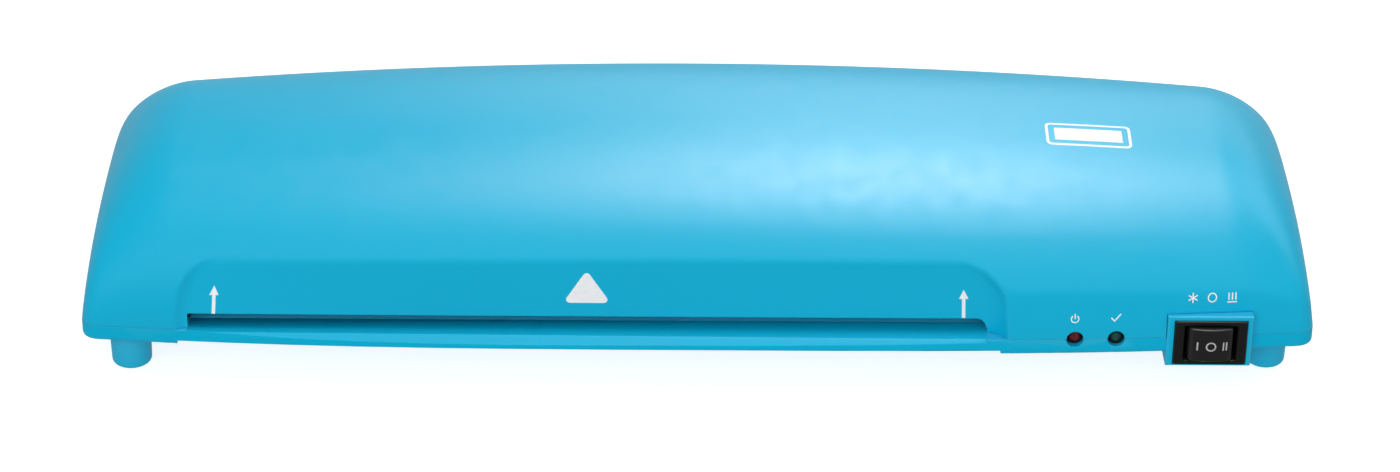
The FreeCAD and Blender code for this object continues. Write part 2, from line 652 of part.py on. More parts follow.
def gear(teeth, y, z, phase, bore, x=GEAR_X):
    """Involute spur gear about an axis along X; phase is the angle of a tooth's middle."""
    pitch_r = MODULE * teeth / 2
    base_r = pitch_r * math.cos(math.radians(20))
    tip_r = pitch_r + 0.92 * MODULE
    root_r = pitch_r - 1.2 * MODULE

    def roll(r):
        a = math.acos(min(1.0, base_r / r))
        return math.tan(a) - a

    half_pitch = (math.pi * MODULE / 2 - BACKLASH) / 2 / pitch_r + roll(pitch_r)
    start_r = max(base_r, root_r) + 0.02
    radii = [start_r + (tip_r - start_r) * i / 4 for i in range(5)]

    def spot(r, angle):
        return Vec(x[0], y + r * math.cos(angle), z + r * math.sin(angle))

    edges = []
    first = None
    last = None
    for i in range(teeth):
        middle = phase + 2 * math.pi * i / teeth
        rising = [spot(r, middle - half_pitch + roll(r)) for r in radii]
        falling = [spot(r, middle + half_pitch - roll(r)) for r in reversed(radii)]
        foot_in = spot(root_r, middle - half_pitch + roll(start_r) - 0.02)
        foot_out = spot(root_r, middle + half_pitch - roll(start_r) + 0.02)
        if last is not None:
            edges.append(Part.makeLine(last, foot_in))
        else:
            first = foot_in
        edges.append(Part.makeLine(foot_in, rising[0]))
        edges.append(curve(rising))
        edges.append(Part.makeLine(rising[-1], falling[0]))
        edges.append(curve(falling))
        edges.append(Part.makeLine(falling[-1], foot_out))
        last = foot_out
    edges.append(Part.makeLine(last, first))
    body = Part.Face(Part.Wire(edges)).extrude(Vec(x[1] - x[0], 0, 0))
    return body.cut(rod(bore, (x[0] - 1, y, z), x[1] - x[0] + 2))


def mating_phase(phase, teeth, direction, other_teeth):
    """Tooth angle of a gear that meshes with one of the given phase in the given direction."""
    offset = ((direction - phase) * teeth / (2 * math.pi)) % 1.0
    return direction + math.pi + (offset + 0.5) * 2 * math.pi / other_teeth


LOWER_PHASE = math.pi / 2
UPPER_PHASE = mating_phase(LOWER_PHASE, ROLLER_TEETH, math.pi / 2, ROLLER_TEETH)
PINION_PHASE = mating_phase(LOWER_PHASE, ROLLER_TEETH, PINION_ANGLE, PINION_TEETH)


def retaining_ring(z):
    ring = tube(4.6, JOURNAL_R, (GEAR_X[1] + 0.1, NIP_Y, z), 0.8)
    return ring.cut(box((GEAR_X[1], GEAR_X[1] + 2), (NIP_Y - 1.5, NIP_Y + 1.5), (z - 6, z)))


# ---- drive ---------------------------------------------------------------------------------------------
def motor_screw_y():
    return (PINION_Y - MOTOR_SCREW_R, PINION_Y + MOTOR_SCREW_R)


def motor_bracket():
    x = (BRACKET_X, BRACKET_X + PLATE)
    outline = [(-31.0, FLOOR_Z), (-31.0, 44.0), (-24.0, 51.0), (16.0, 51.0), (22.0, 45.0), (22.0, FLOOR_Z)]
    pieces = [yz_prism(outline, x)]
    for y in ((-31.0, -21.0), (12.0, 22.0)):
        pieces.append(box((x[1], x[1] + 8), y, (FLOOR_Z, FLOOR_Z + PLATE)))
    plate = join(pieces).cut(rod(5.2, (x[0] - 1, PINION_Y, PINION_Z), 4))
    for y in motor_screw_y():
        plate = plate.cut(rod(SCREW_R + 0.1, (x[0] - 1, y, MOTOR_Z), 4))
    for sx, sy in BRACKET_SCREWS:
        plate = plate.cut(rod(SCREW_R, (sx, sy, 0), 12, "z"))
    return plate


def motor_body():
    start = BRACKET_X + PLATE
    can = rod(MOTOR_R, (start, PINION_Y, MOTOR_Z), MOTOR_LENGTH)
    can = can.makeFillet(1.2, edges_at(can, lambda p: abs(p.x - start - MOTOR_LENGTH) < 0.01))
    nose = rod(BUSH_R, (start - 1.8, PINION_Y, PINION_Z), 1.8)
    hub = rod(6.0, (start + MOTOR_LENGTH, PINION_Y, MOTOR_Z), 2.0)
    terminals = box((start + MOTOR_LENGTH, MOTOR_TAG_X), (MOTOR_TAG_Y - 5, MOTOR_TAG_Y + 5),
                    (MOTOR_TAG_Z - 4, MOTOR_TAG_Z + 4))
    body = join([can, nose, hub, terminals])
    body = body.cut(rod(JOURNAL_R + RUNNING, (start - 3, PINION_Y, PINION_Z), 9.3))
    for y in motor_screw_y():
        body = body.cut(rod(SCREW_R, (start - 1, y, MOTOR_Z), 6))
    return body


def motor_shaft():
    return rod(JOURNAL_R, (GEAR_X[0] - 0.6, PINION_Y, PINION_Z), BRACKET_X + PLATE + 6 - GEAR_X[0] + 0.6)


def motor_screws():
    return group([screw(2.7, 1.7, SCREW_R, 5.5, (BRACKET_X, y, MOTOR_Z), "x", 1) for y in motor_screw_y()])


# ---- heating ---------------------------------------------------------------------------------------------
def on_path(shape):
    """Move a shape drawn about the nip (Y along the pouch path, Z across it) into place."""
    placed = shape.copy()
    placed.rotate(Vec(0, 0, 0), Vec(1, 0, 0), PATH_TILT)
    placed.translate(Vec(0, NIP_Y, NIP_Z))
    return placed


def shoe(side):
    """Aluminium heating shoe above (+1) or below (-1) the path, lead edge turned away from it."""
    near = side * SHOE_GAP
    far = side * (SHOE_GAP + SHOE_THICK)
    start, end = SHOE_SPAN
    outline = [(start, side * (SHOE_GAP + 1.4)), (start + 3, near), (end - 1, near), (end, near + side * 0.8),
               (end, far), (start, far)]
    return on_path(yz_prism(outline, SLEEVE))


def heater(side):
    """Flat heating element on the back of a shoe."""
    back = SHOE_GAP + SHOE_THICK
    z = sorted((side * back, side * (back + 1.4)))
    return on_path(box((SLEEVE[0] + 9, SLEEVE[1] - 9), (-27.5, -14.0), z))


def holder_screw_z():
    return (17.6, 30.4)


def shoe_holder(x):
    """Moulded holder between a side plate and the ends of both shoes."""
    low, high = HOLDER_Z
    front, rear = HOLDER_Y
    body = box(x, HOLDER_Y, HOLDER_Z)
    corners = edges_at(body, lambda p: min(abs(p.y - front), abs(p.y - rear)) < 0.01
                       and min(abs(p.z - low), abs(p.z - high)) < 0.01)
    body = body.makeFillet(1.5, corners)
    for z in holder_screw_z():
        body = body.cut(rod(HOLDER_SCREW_R, (x[0] - 1, HOLDER_SCREW_Y, z), 8))
    return body


def holder_screws():
    screws = []
    for seat, sign in ((PLATE_LEFT - PLATE, 1), (PLATE_RIGHT + PLATE, -1)):
        for z in holder_screw_z():
            screws.append(screw(2.6, 1.5, HOLDER_SCREW_R, 4.6, (seat, HOLDER_SCREW_Y, z), "x", sign))
    return group(screws)


def thermostat():
    """Disc thermostat on the upper shoe, with two blade terminals."""
    back = SHOE_GAP + SHOE_THICK
    x = THERMOSTAT_X
    cap = rod(7.0, (x, SENSOR_Y, back), 4.0, "z")
    body = rod(6.4, (x, SENSOR_Y, back + 4.0), 4.6, "z")
    pieces = [cap, body]
    for dx in (-4, 4):
        width = (x + dx - 0.4, x + dx + 0.4)
        pieces.append(box(width, (SENSOR_Y - 3, SENSOR_Y + 3), (back + 8.6, back + 13.0)))
    return on_path(join(pieces))


def thermal_fuse():
    """Axial thermal fuse on the upper shoe."""
    axis = SHOE_GAP + SHOE_THICK + FUSE_R
    body = rod(FUSE_R, (FUSE_X[0], SENSOR_Y, axis), FUSE_X[1] - FUSE_X[0])
    wires = [rod(0.5, (x, SENSOR_Y, axis), 6.0) for x in (FUSE_X[0] - 6, FUSE_X[1])]
    return on_path(join([body] + wires))


# ---- leads ----------------------------------------------------------------------------------------------
LEAD_R = 1.0
TERMINAL_Y = -38.5
TERMINAL_Z = 19.5


def lead(points):
    """Insulated lead along straight runs joined by tangent arcs as large as the runs allow."""
    spots = [Vec(*p) for p in points]
    edges = []
    at = spots[0]
    for before, corner, after in zip(spots, spots[1:], spots[2:]):
        back = before - corner
        ahead = after - corner
        reach = 0.45 * min(back.Length, ahead.Length)
        back.normalize()
        ahead.normalize()
        half_angle = back.getAngle(ahead) / 2
        start = corner + back * reach
        end = corner + ahead * reach
        bisector = (back + ahead).normalize()
        radius = reach * math.tan(half_angle)
        middle = corner + bisector * (reach / math.cos(half_angle) - radius)
        edges.append(Part.makeLine(at, start))
        edges.append(Part.Arc(start, middle, end).toShape())
        at = end
    edges.append(Part.makeLine(at, spots[-1]))
    path = Part.Wire(edges)
    direction = spots[1] - spots[0]
    profile = Part.Wire(Part.makeCircle(LEAD_R, spots[0], direction))
    solid = path.makePipeShell([profile], True, False)
    wanted = math.pi * LEAD_R ** 2 * path.Length
    print("lead", round(path.Length, 1), "mm, volume ratio", round(solid.Volume / wanted, 4))
    return solid


def motor_lead():
    x = SWITCH_X - 4.5
    return lead([
        (MOTOR_TAG_X, MOTOR_TAG_Y, MOTOR_TAG_Z),
        (132.5, MOTOR_TAG_Y, MOTOR_TAG_Z),
        (139.0, -19.0, 40.0),
        (x, -26.0, 29.0),
        (x, -31.0, 21.5),
        (x, TERMINAL_Y + 4, TERMINAL_Z),
        (x, TERMINAL_Y, TERMINAL_Z),
    ])


def heater_lead():
    return lead([
        (SWITCH_X, TERMINAL_Y, TERMINAL_Z),
        (SWITCH_X, TERMINAL_Y + 4, TERMINAL_Z),
        (SWITCH_X, -31.0, 23.5),
        (143.0, -32.0, 36.0),
        (126.0, -32.5, 41.0),
        (98.0, -40.5, 38.0),
        (60.0, -38.0, 36.0),
        (16.0, -37.0, 38.5),
        (-24.0, -32.0, 38.5),
        (-45.0, -27.1, 36.4),
        (-55.6, -27.1, 36.4),
    ])


def lamp_lead():
    x = SWITCH_X + 4.5
    return lead([
        (114.5, -45.4, 21.0),
        (114.5, -41.0, 21.0),
        (118.0, -34.0, 19.0),
        (130.0, -24.0, 14.0),
        (145.0, -20.0, 13.0),
        (x, -26.0, 15.5),
        (x, TERMINAL_Y + 4, TERMINAL_Z),
        (x, TERMINAL_Y, TERMINAL_Z),
    ])


# ---- guides ---------------------------------------------------------------------------------------------
def path_z(y):
    return NIP_Z + (y - NIP_Y) * math.tan(math.radians(PATH_TILT))


def guide(outline, lug_y, lug_z):
    """Bent guide sheet across the path with a lug against each side plate."""
    sheet = yz_prism(outline, GUIDE_X)
    left = box((PLATE_LEFT, GUIDE_X[0]), lug_y, lug_z)
    right = box((GUIDE_X[1], PLATE_RIGHT), lug_y, lug_z)
    return join([sheet, left, right])


def entry_guide_lower():
    y0, y1 = TABLE_BACK + 0.2, -34.6
    top = (TABLE_Z - 0.1, path_z(y1) - 0.9)
    sheet = yz_prism([(y0, top[0]), (y1, top[1]), (y1, top[1] - 1.6), (y0, top[0] - 1.6)], GUIDE_X)
    ribs = [yz_prism([(y0, SHELF_Z), (y0, top[0] - 1), (y1, top[1] - 1), (y1, SHELF_Z)], (x, x + 2.0))
            for x in (-140.0, -72.0, 0.0, 74.0)]
    return join([sheet] + ribs)


def entry_guide_upper():
    y0, y1 = -48.2, -34.8
    low = (23.4, path_z(y1) + 0.9)
    outline = [
        (y0, low[0]),
        (y1, low[1]),
        (y1, low[1] + 5.0),
        (y1 - 1.6, low[1] + 5.0),
        (y1 - 1.6, low[1] + 1.8),
        (y0, low[0] + 1.6),
    ]
    return guide(outline, (y1 - 1.6, y1), (low[1] + 1.0, low[1] + 5.0))


def exit_guide(side):
    """Sheet above (+1) or below (-1) the path behind the rollers, with a turned-away front flange."""
    y0, y1 = 20.4, 44.6
    near = (path_z(y0) + side * 1.6, path_z(y1) + side * 1.6)
    outline = [
        (y0, near[0]),
        (y1, near[1]),
        (y1, near[1] + side * 1.6),
        (y0 + 1.6, near[0] + side * 1.6),
        (y0 + 1.6, near[0] + side * 6.0),
        (y0, near[0] + side * 6.0),
    ]
    return guide(outline, (y0, y0 + 1.6), sorted((near[0] + side * 1.0, near[0] + side * 6.0)))


# ---- write every piece -------------------------------------------------------------------------------------
def build():
    os.makedirs("parts", exist_ok=True)
    parts = {
        "top_cover": top_cover(),
        "base_shell": base_shell(),
        "foot_front_left": foot(*FRONT_FEET[0]),
        "foot_front_right": foot(*FRONT_FEET[1]),
        "foot_rear_left": foot(*REAR_FEET[0]),
        "foot_rear_right": foot(*REAR_FEET[1]),
        "cover_screws": cover_screws(),
        "plate_screws": plate_screws(),
        "cord_gland": cord_gland(),
        "switch_body": switch_body(),
        "switch_terminals": switch_terminals(),
        "rocker": rocker(),
        "power_lamp": lamp(LAMP_X[0]),
        "ready_lamp": lamp(LAMP_X[1]),
        "indicator_board": indicator_board(),
        "board_screws": board_screws(),
        "side_plate_left": side_plate(PLATE_LEFT, -1),
        "side_plate_right": side_plate(PLATE_RIGHT, 1),
        "lower_bush_left": lower_bush(PLATE_LEFT, -1),
        "lower_bush_right": lower_bush(PLATE_RIGHT, 1),
        "bearing_block_left": bearing_block(PLATE_LEFT, -1),
        "bearing_block_right": bearing_block(PLATE_RIGHT, 1),
        "pressure_spring_left": pressure_spring(PLATE_LEFT, -1),
        "pressure_spring_right": pressure_spring(PLATE_RIGHT, 1),
        "lower_roller_shaft": roller_shaft(LOWER_Z, (PLATE_LEFT + 1.3, PLATE_RIGHT - 1.3)),
        "upper_roller_shaft": roller_shaft(UPPER_Z, (PLATE_LEFT + 2.6, PLATE_RIGHT - 2.6)),
        "lower_roller_sleeve": roller_sleeve(LOWER_Z),
        "upper_roller_sleeve": roller_sleeve(UPPER_Z),
        "lower_gear": gear(ROLLER_TEETH, NIP_Y, LOWER_Z, LOWER_PHASE, JOURNAL_R),
        "upper_gear": gear(ROLLER_TEETH, NIP_Y, UPPER_Z, UPPER_PHASE, JOURNAL_R),
        "motor_pinion": gear(PINION_TEETH, PINION_Y, PINION_Z, PINION_PHASE, JOURNAL_R),
        "lower_retaining_ring": retaining_ring(LOWER_Z),
        "upper_retaining_ring": retaining_ring(UPPER_Z),
        "motor_bracket": motor_bracket(),
        "motor_body": motor_body(),
        "motor_shaft": motor_shaft(),
        "motor_screws": motor_screws(),
        "lower_heating_shoe": shoe(-1),
        "upper_heating_shoe": shoe(1),
        "lower_heater": heater(-1),
        "upper_heater": heater(1),
        "shoe_holder_left": shoe_holder((PLATE_LEFT, SLEEVE[0])),
        "shoe_holder_right": shoe_holder((SLEEVE[1], PLATE_RIGHT)),
        "holder_screws": holder_screws(),
        "thermostat": thermostat(),
        "thermal_fuse": thermal_fuse(),
        "motor_lead": motor_lead(),
        "heater_lead": heater_lead(),
        "lamp_lead": lamp_lead(),
        "entry_guide_lower": entry_guide_lower(),
        "entry_guide_upper": entry_guide_upper(),
        "exit_guide_lower": exit_guide(-1),
        "exit_guide_upper": exit_guide(1),
    }
    for name, shape in parts.items():
        save(name, shape)
        print(name, len(shape.Solids), round(shape.Volume, 1), shape.isValid())


build()
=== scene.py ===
import math

import bmesh
import bpy
from mathutils import Matrix, Vector


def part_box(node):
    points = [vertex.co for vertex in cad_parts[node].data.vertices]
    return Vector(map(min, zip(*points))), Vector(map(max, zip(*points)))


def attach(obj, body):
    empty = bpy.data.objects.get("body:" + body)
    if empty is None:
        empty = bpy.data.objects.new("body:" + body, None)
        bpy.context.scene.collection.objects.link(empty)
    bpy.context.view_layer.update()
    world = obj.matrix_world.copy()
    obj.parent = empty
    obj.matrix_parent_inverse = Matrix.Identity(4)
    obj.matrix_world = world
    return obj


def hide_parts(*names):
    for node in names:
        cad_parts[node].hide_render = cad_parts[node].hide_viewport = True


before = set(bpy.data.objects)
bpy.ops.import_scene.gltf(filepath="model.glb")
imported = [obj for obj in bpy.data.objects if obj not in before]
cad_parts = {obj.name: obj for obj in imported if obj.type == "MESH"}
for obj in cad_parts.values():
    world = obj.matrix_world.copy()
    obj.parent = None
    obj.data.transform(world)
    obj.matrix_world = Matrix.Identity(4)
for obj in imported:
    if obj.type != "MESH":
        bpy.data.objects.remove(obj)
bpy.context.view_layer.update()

# Desktop A4 pouch laminator. Shapes are worked out in millimetres about the crest line of the cover
# (y = 0 at the crest, x to the right end, z up from the table top) and written in metres.

MM = 0.001

# ---- driving sizes of the cover, in millimetres ------------------------------
COVER_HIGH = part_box("top_cover")[1] / MM
HALF = COVER_HIGH.x                  # half width at the seam
SEAM = 17.5                          # height of the joint between cover and base
FRONT_DEPTH = 60.0
FRONT_BOW = 6.3
BOW_POWER = 3.16
REAR_DEPTH = 55.3
REAR_BOW = 9.9
CREST_Y = 2.45                       # where the crest line lies in the frame
CREST_RISE = COVER_HIGH.z - SEAM
CREST_FALL = 6.65
END_ROUND = 22.0
END_DROP = 20.4
END_POWER = 1.915
END_DRAFT = math.tan(math.radians(7.7))
PLAN_CORNER = 4.0
FRONT_Y_POWER = 0.809
FRONT_Z_POWER = 1.004
REAR_POWER = 0.833
WALL = 2.2

SKIRT_START = 0.135                  # shares of the crest's rise: where the skirt leaves the hood's curve
SKIRT_CREASE = 0.30                  # where the crease above it lies
SKIRT_MERGE = 0.66                   # and where the stretch above the crease runs out into the hood
SKIRT_LEAN = 0.092
SKIRT_FROM = (-130.0, 60.0)          # the skirt grows between these, behind the feed recess
CREASE_SOFT = 0.010                  # softness of the crease
FOOT_SOFT = 0.003                    # and of the line where the skirt leaves the hood

# ---- feed recess, mouth, exit slot, switch and lamps -------------------------
RECESS_DEPTH = 5.7                   # set-back of the recess's face where it is bowed, at its top
RECESS_FACE_Y = -54.5                # and its place at the mouth, where it is straight
RECESS_TWIST = (2.5, 20.5)           # heights above the seam over which it changes from one to the other
RECESS_INNER = {"y": -46.0, "left": -143.8, "right": 79.0, "top": 39.7 - SEAM, "round": 11.7}
RECESS_OUTER = {"y": -60.3, "left": -153.6, "right": 90.0, "top": 44.4 - SEAM, "round": 16.4}
RECESS_EDGE = 0.8                    # softness of the recess's rim and of its inner corners
RECESS_CORNER = 4.5
RECESS_REACH = 3.0                   # its flared wall is searched over this many widths each way
RECESS_MARGIN = 2.0                  # how far past its outer outline the recess is worked out
RECESS_HALVINGS = 22
MOUTH = (-147.0, 83.0)
MOUTH_LIFT = 4.2                     # the mouth's upper edge above the seam
MOUTH_CORNER = 3.0
EXIT = (-150.0, 86.0)
EXIT_LIFT = (8.2, 14.4)
NOTCH = (134.8, 159.7)
NOTCH_LIFT = 7.5
LAMP_X = (108.4, 120.3)
LAMP_HOLE = 2.5
GLAND_X = 140.0
GLAND_LIFT = 8.8
GLAND_HOLE = 8.2
GLAND_FACE = 50.2
SWITCH = (147.5, 16.3)               # middle of the rocker switch, across and up
SWITCH_FACE = -58.0                  # front of the base's block round it
ROCKER_FACE = -60.2
ROCKER_HALF = (6.2, 5.3)
LAMP_Z = SEAM
FEET = {"foot_front_left": (-165.2, -44.3), "foot_front_right": (166.5, -40.3),
        "foot_rear_left": (-165.2, 38.0), "foot_rear_right": (166.5, 38.0)}
FOOT_TOP = 12.4


# ---- small helpers -----------------------------------------------------------
def placed(x, y, z):
    """A point about the crest line, in millimetres, as a point of the frame, in metres."""
    return Vector((x, y + CREST_Y, z)) * MM


def soft_min(a, b, width):
    near = max(width - abs(a - b), 0.0) / width
    return min(a, b) - near * near * width / 4


def soft_max(a, b, width):
    return -soft_min(-a, -b, width)


def smooth_step(t):
    t = min(max(t, 0.0), 1.0)
    return t * t * (3 - 2 * t)


def divided(start, *stretches):
    """Positions from start through stretches of (end, largest step)."""
    stops = [start]
    for end, step in stretches:
        count = max(1, math.ceil((end - stops[-1]) / step - 1e-6))
        begin = stops[-1]
        stops += [begin + (end - begin) * i / count for i in range(1, count + 1)]
    return stops


def mesh_piece(name, verts, faces, body="casing", slot=None, material=None, smooth_angle=30.0):
    """A piece from vertices and faces in metres, merged, facing outwards, riding on a body."""
    mesh = bpy.data.meshes.new(name)
    bm = bmesh.new()
    corners = [bm.verts.new(v) for v in verts]
    for face in faces:
        bm.faces.new([corners[i] for i in face])
    bmesh.ops.remove_doubles(bm, verts=bm.verts, dist=1e-7)
    bmesh.ops.dissolve_degenerate(bm, edges=bm.edges, dist=1e-8)
    bmesh.ops.recalc_face_normals(bm, faces=bm.faces)
    bm.to_mesh(mesh)
    bm.free()
    piece = bpy.data.objects.new(name, mesh)
    bpy.context.scene.collection.objects.link(piece)
    if material:
        mesh.materials.append(material)
    mesh.shade_smooth()
    mesh.set_sharp_from_angle(angle=math.radians(smooth_angle))
    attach(piece, body)
    return piece


# ---- the cover's surface -----------------------------------------------------
def share_of(x, lift):
    """Distance from mid width as a share of the half width at that height above the seam."""
    return min(1.0, abs(x) / (HALF - END_DRAFT * lift))


def corner_loss(share):
    reach = PLAN_CORNER / HALF
    k = max(0.0, (share - 1 + reach) / reach)
    return PLAN_CORNER * (1 - math.sqrt(max(0.0, 1 - k * k)))


def front_depth(share):
    return FRONT_DEPTH - FRONT_BOW * share ** BOW_POWER - corner_loss(share)


def rear_depth(share):
    return REAR_DEPTH - REAR_BOW * share * share - corner_loss(share)


def crest_lift(share):
    """Height of the crest above the seam."""
    reach = END_ROUND / HALF
    k = min(1.0, max(0.0, (share - 1 + reach) / reach))
    drop = 1 - (1 - k ** END_POWER) ** (1 / END_POWER)
    return CREST_RISE - CREST_FALL * share * share - END_DROP * drop


def round_over(level, height_power, depth_power):
    """Share of the depth that is left at a share of the height."""
    s = min(level, 1.0) ** (1 / height_power)
    return math.sqrt(max(0.0, 1 - s * s)) ** depth_power


SKIRT_FOOT = round_over(SKIRT_START, FRONT_Z_POWER, FRONT_Y_POWER)


def skirt_line(level):
    """Straight profile of the skirt at a share of the height."""
    return -SKIRT_FOOT + SKIRT_LEAN * (level - SKIRT_START)


def hood_share(level):
    """Rounded profile of the hood at a share of the height."""
    return -round_over(level, FRONT_Z_POWER, FRONT_Y_POWER)


# Above the crease a parabola leaves the skirt's line and meets the hood with the hood's own slope.
SLOPE_STEP = 0.001
MERGE_SLOPE = (hood_share(SKIRT_MERGE + SLOPE_STEP) - hood_share(SKIRT_MERGE - SLOPE_STEP)) / (2 * SLOPE_STEP)
MERGE_RISE = SKIRT_MERGE - SKIRT_CREASE
MERGE_GAP = skirt_line(SKIRT_CREASE) - hood_share(SKIRT_MERGE)
MERGE_BEND = (MERGE_GAP + MERGE_SLOPE * MERGE_RISE) / MERGE_RISE ** 2


def front_share(level, strength):
    """The front profile: a rounded hood with, at full strength, a steeper skirt below a soft crease."""
    hood = hood_share(level)
    if level >= SKIRT_MERGE or strength == 0:
        return hood
    below = SKIRT_MERGE - level
    above = hood_share(SKIRT_MERGE) - MERGE_SLOPE * below + MERGE_BEND * below * below
    creased = soft_min(hood, soft_max(skirt_line(level), above, CREASE_SOFT), FOOT_SOFT)
    return hood + (creased - hood) * strength


def hood_front(x, lift):
    share = share_of(x, lift)
    strength = smooth_step((x - SKIRT_FROM[0]) / (SKIRT_FROM[1] - SKIRT_FROM[0]))
    return front_depth(share) * front_share(lift / crest_lift(share), strength)


def hood_rear(x, lift):
    share = share_of(x, lift)
    return rear_depth(share) * round_over(lift / crest_lift(share), REAR_POWER, REAR_POWER)


def recess_gap(x, lift, t):
    """Signed distance from the feed recess's outline, t of the way from its inner to its outer one."""
    low, high = RECESS_INNER, RECESS_OUTER
    left, right, top, turn = (low[k] + (high[k] - low[k]) * t for k in ("left", "right", "top", "round"))
    dx = abs(x - (left + right) / 2) - (right - left) / 2 + turn
    dz = lift - top + turn
    return math.hypot(max(dx, 0.0), max(dz, 0.0)) + min(max(dx, dz), 0.0) - turn


def recess_wall(x, lift):
    """Depth of the recess's flared wall at a point of the front view."""
    low, high = -RECESS_REACH, RECESS_REACH
    for _ in range(RECESS_HALVINGS):
        t = (low + high) / 2
        if recess_gap(x, lift, t) > 0:
            low = t
        else:
            high = t
    return RECESS_INNER["y"] + (RECESS_OUTER["y"] - RECESS_INNER["y"]) * t


def recess_face(x, lift):
    bowed = -(FRONT_DEPTH - RECESS_DEPTH - FRONT_BOW * (abs(x) / HALF) ** BOW_POWER)
    twist = (lift - RECESS_TWIST[0]) / (RECESS_TWIST[1] - RECESS_TWIST[0])
    return RECESS_FACE_Y + (bowed - RECESS_FACE_Y) * twist


def front_surface(x, lift):
    """Depth of the finished front of the cover."""
    hood = hood_front(x, lift)
    beside = x < RECESS_OUTER["left"] - RECESS_MARGIN or x > RECESS_OUTER["right"] + RECESS_MARGIN
    if beside or lift > RECESS_OUTER["top"]:
        return hood
    recess = soft_min(recess_face(x, lift), recess_wall(x, lift), RECESS_CORNER)
    return soft_max(hood, recess, RECESS_EDGE)


# ---- the cover's net ---------------------------------------------------------
GLAND_COLUMNS = (131.5, 148.5)       # sides of the patch round the cord gland's hole
END_START = NOTCH[1]                 # columns run straight up to here and lean with the end walls beyond
END_COLUMNS = 15
UPPER_START = 28.8
UPPER_ROWS = 15
CAP_STEPS = 18
MOUTH_TURN = 5                       # columns round the mouth's corner
MOUTH_FADE = 5.0                     # the mouth's edge fades into the seam over this width


def hole_stops(centre, radius, count=8):
    return [centre - radius * math.cos(math.pi * i / count) for i in range(count + 1)]


def cover_columns():
    """Places of the net's columns, closest together at edges and holes."""
    steps = [math.sin(math.pi / 2 * i / MOUTH_TURN) for i in range(MOUTH_TURN + 1)]
    turn = [MOUTH[1] - MOUTH_CORNER * (1 - step) for step in steps]
    columns = divided(-END_START, (-154, 1.2), (EXIT[0], 0.5), (MOUTH[0], 0.5), (-134, 0.6), (-122, 2.4),
                      (66, 6), (turn[0], 0.7))
    columns += turn[1:]
    columns += divided(turn[-1], (EXIT[1], 0.5), (94, 0.5), (LAMP_X[0] - LAMP_HOLE, 2.4))[1:]
    for lamp_x, after in zip(LAMP_X, (LAMP_X[1] - LAMP_HOLE, GLAND_COLUMNS[0])):
        columns += hole_stops(lamp_x, LAMP_HOLE)[1:]
        columns += divided(columns[-1], (after, 2.4))[1:]
    columns += divided(columns[-1], (NOTCH[0], 1.6), (GLAND_COLUMNS[1], 1.6), (NOTCH[1], 1.9))[1:]
    beyond = [END_START + (HALF - END_START) * math.sin(math.pi / 2 * i / END_COLUMNS)
              for i in range(1, END_COLUMNS + 1)]
    return [-c for c in reversed(beyond)] + columns + beyond


LOW_ROWS = divided(0.0, (MOUTH_LIFT, 0.7), (NOTCH_LIFT, 0.7), (EXIT_LIFT[0], 0.7), (EXIT_LIFT[1], 0.7),
                   (20.4, 0.7), (24.8, 0.4), (UPPER_START, 1.0))


def row_lifts(crest):
    """Heights of the rows above the seam for a crest of that height."""
    start = math.asin(UPPER_START / crest)
    rest = math.pi / 2 - start
    return LOW_ROWS + [crest * math.sin(start + rest * i / UPPER_ROWS) for i in range(1, UPPER_ROWS + 1)]


END_LIFTS = row_lifts(crest_lift(share_of(END_START, 0.0)))


def column_point(column, row):
    """(x, lift) of a crossing of the net. Beyond END_START the net shrinks with the crest."""
    if abs(column) <= END_START:
        share = share_of(column, row_guess(column, row))
        return column, row_lifts(crest_lift(share))[row]
    along = (abs(column) - END_START) / (HALF - END_START)
    lift = END_LIFTS[row] * crest_lift(abs(column) / HALF) / END_LIFTS[-1]
    for _ in range(6):
        x = END_START + along * (HALF - END_DRAFT * lift - END_START)
        lift = END_LIFTS[row] * crest_lift(share_of(x, lift)) / END_LIFTS[-1]
    x = END_START + along * (HALF - END_DRAFT * lift - END_START)
    return math.copysign(x, column), lift


def row_guess(column, row):
    """Height at which a straight column meets a row, near enough to find its share."""
    return row_lifts(crest_lift(share_of(column, CREST_RISE - CREST_FALL)))[row]


def mouth_edge(x):
    """Height of the mouth's upper edge, which rounds down at the right end and fades out beyond it."""
    start = MOUTH[1] - MOUTH_CORNER
    if x <= start:
        return MOUTH_LIFT
    if x <= MOUTH[1]:
        return MOUTH_LIFT - MOUTH_CORNER + math.sqrt(max(0.0, MOUTH_CORNER ** 2 - (x - start) ** 2))
    return MOUTH_LIFT - MOUTH_CORNER * (1 - smooth_step((x - MOUTH[1]) / MOUTH_FADE))


def front_lift(x, lift):
    """Moves the low rows of the front so that they follow the mouth's corner and the lamp holes."""
    edge = mouth_edge(x)
    if edge < MOUTH_LIFT and lift < NOTCH_LIFT:
        if lift <= MOUTH_LIFT:
            return lift * edge / MOUTH_LIFT
        return edge + (lift - MOUTH_LIFT) * (NOTCH_LIFT - edge) / (NOTCH_LIFT - MOUTH_LIFT)
    for lamp_x in LAMP_X:
        if abs(x - lamp_x) < LAMP_HOLE and lift < MOUTH_LIFT:
            low = math.sqrt(LAMP_HOLE ** 2 - (x - lamp_x) ** 2)
            return low + lift * (MOUTH_LIFT - low) / MOUTH_LIFT
    return lift


def between(value, span, slack=1e-6):
    """True where value lies in the span, to within the slack."""
    return span[0] - slack <= value <= span[1] + slack


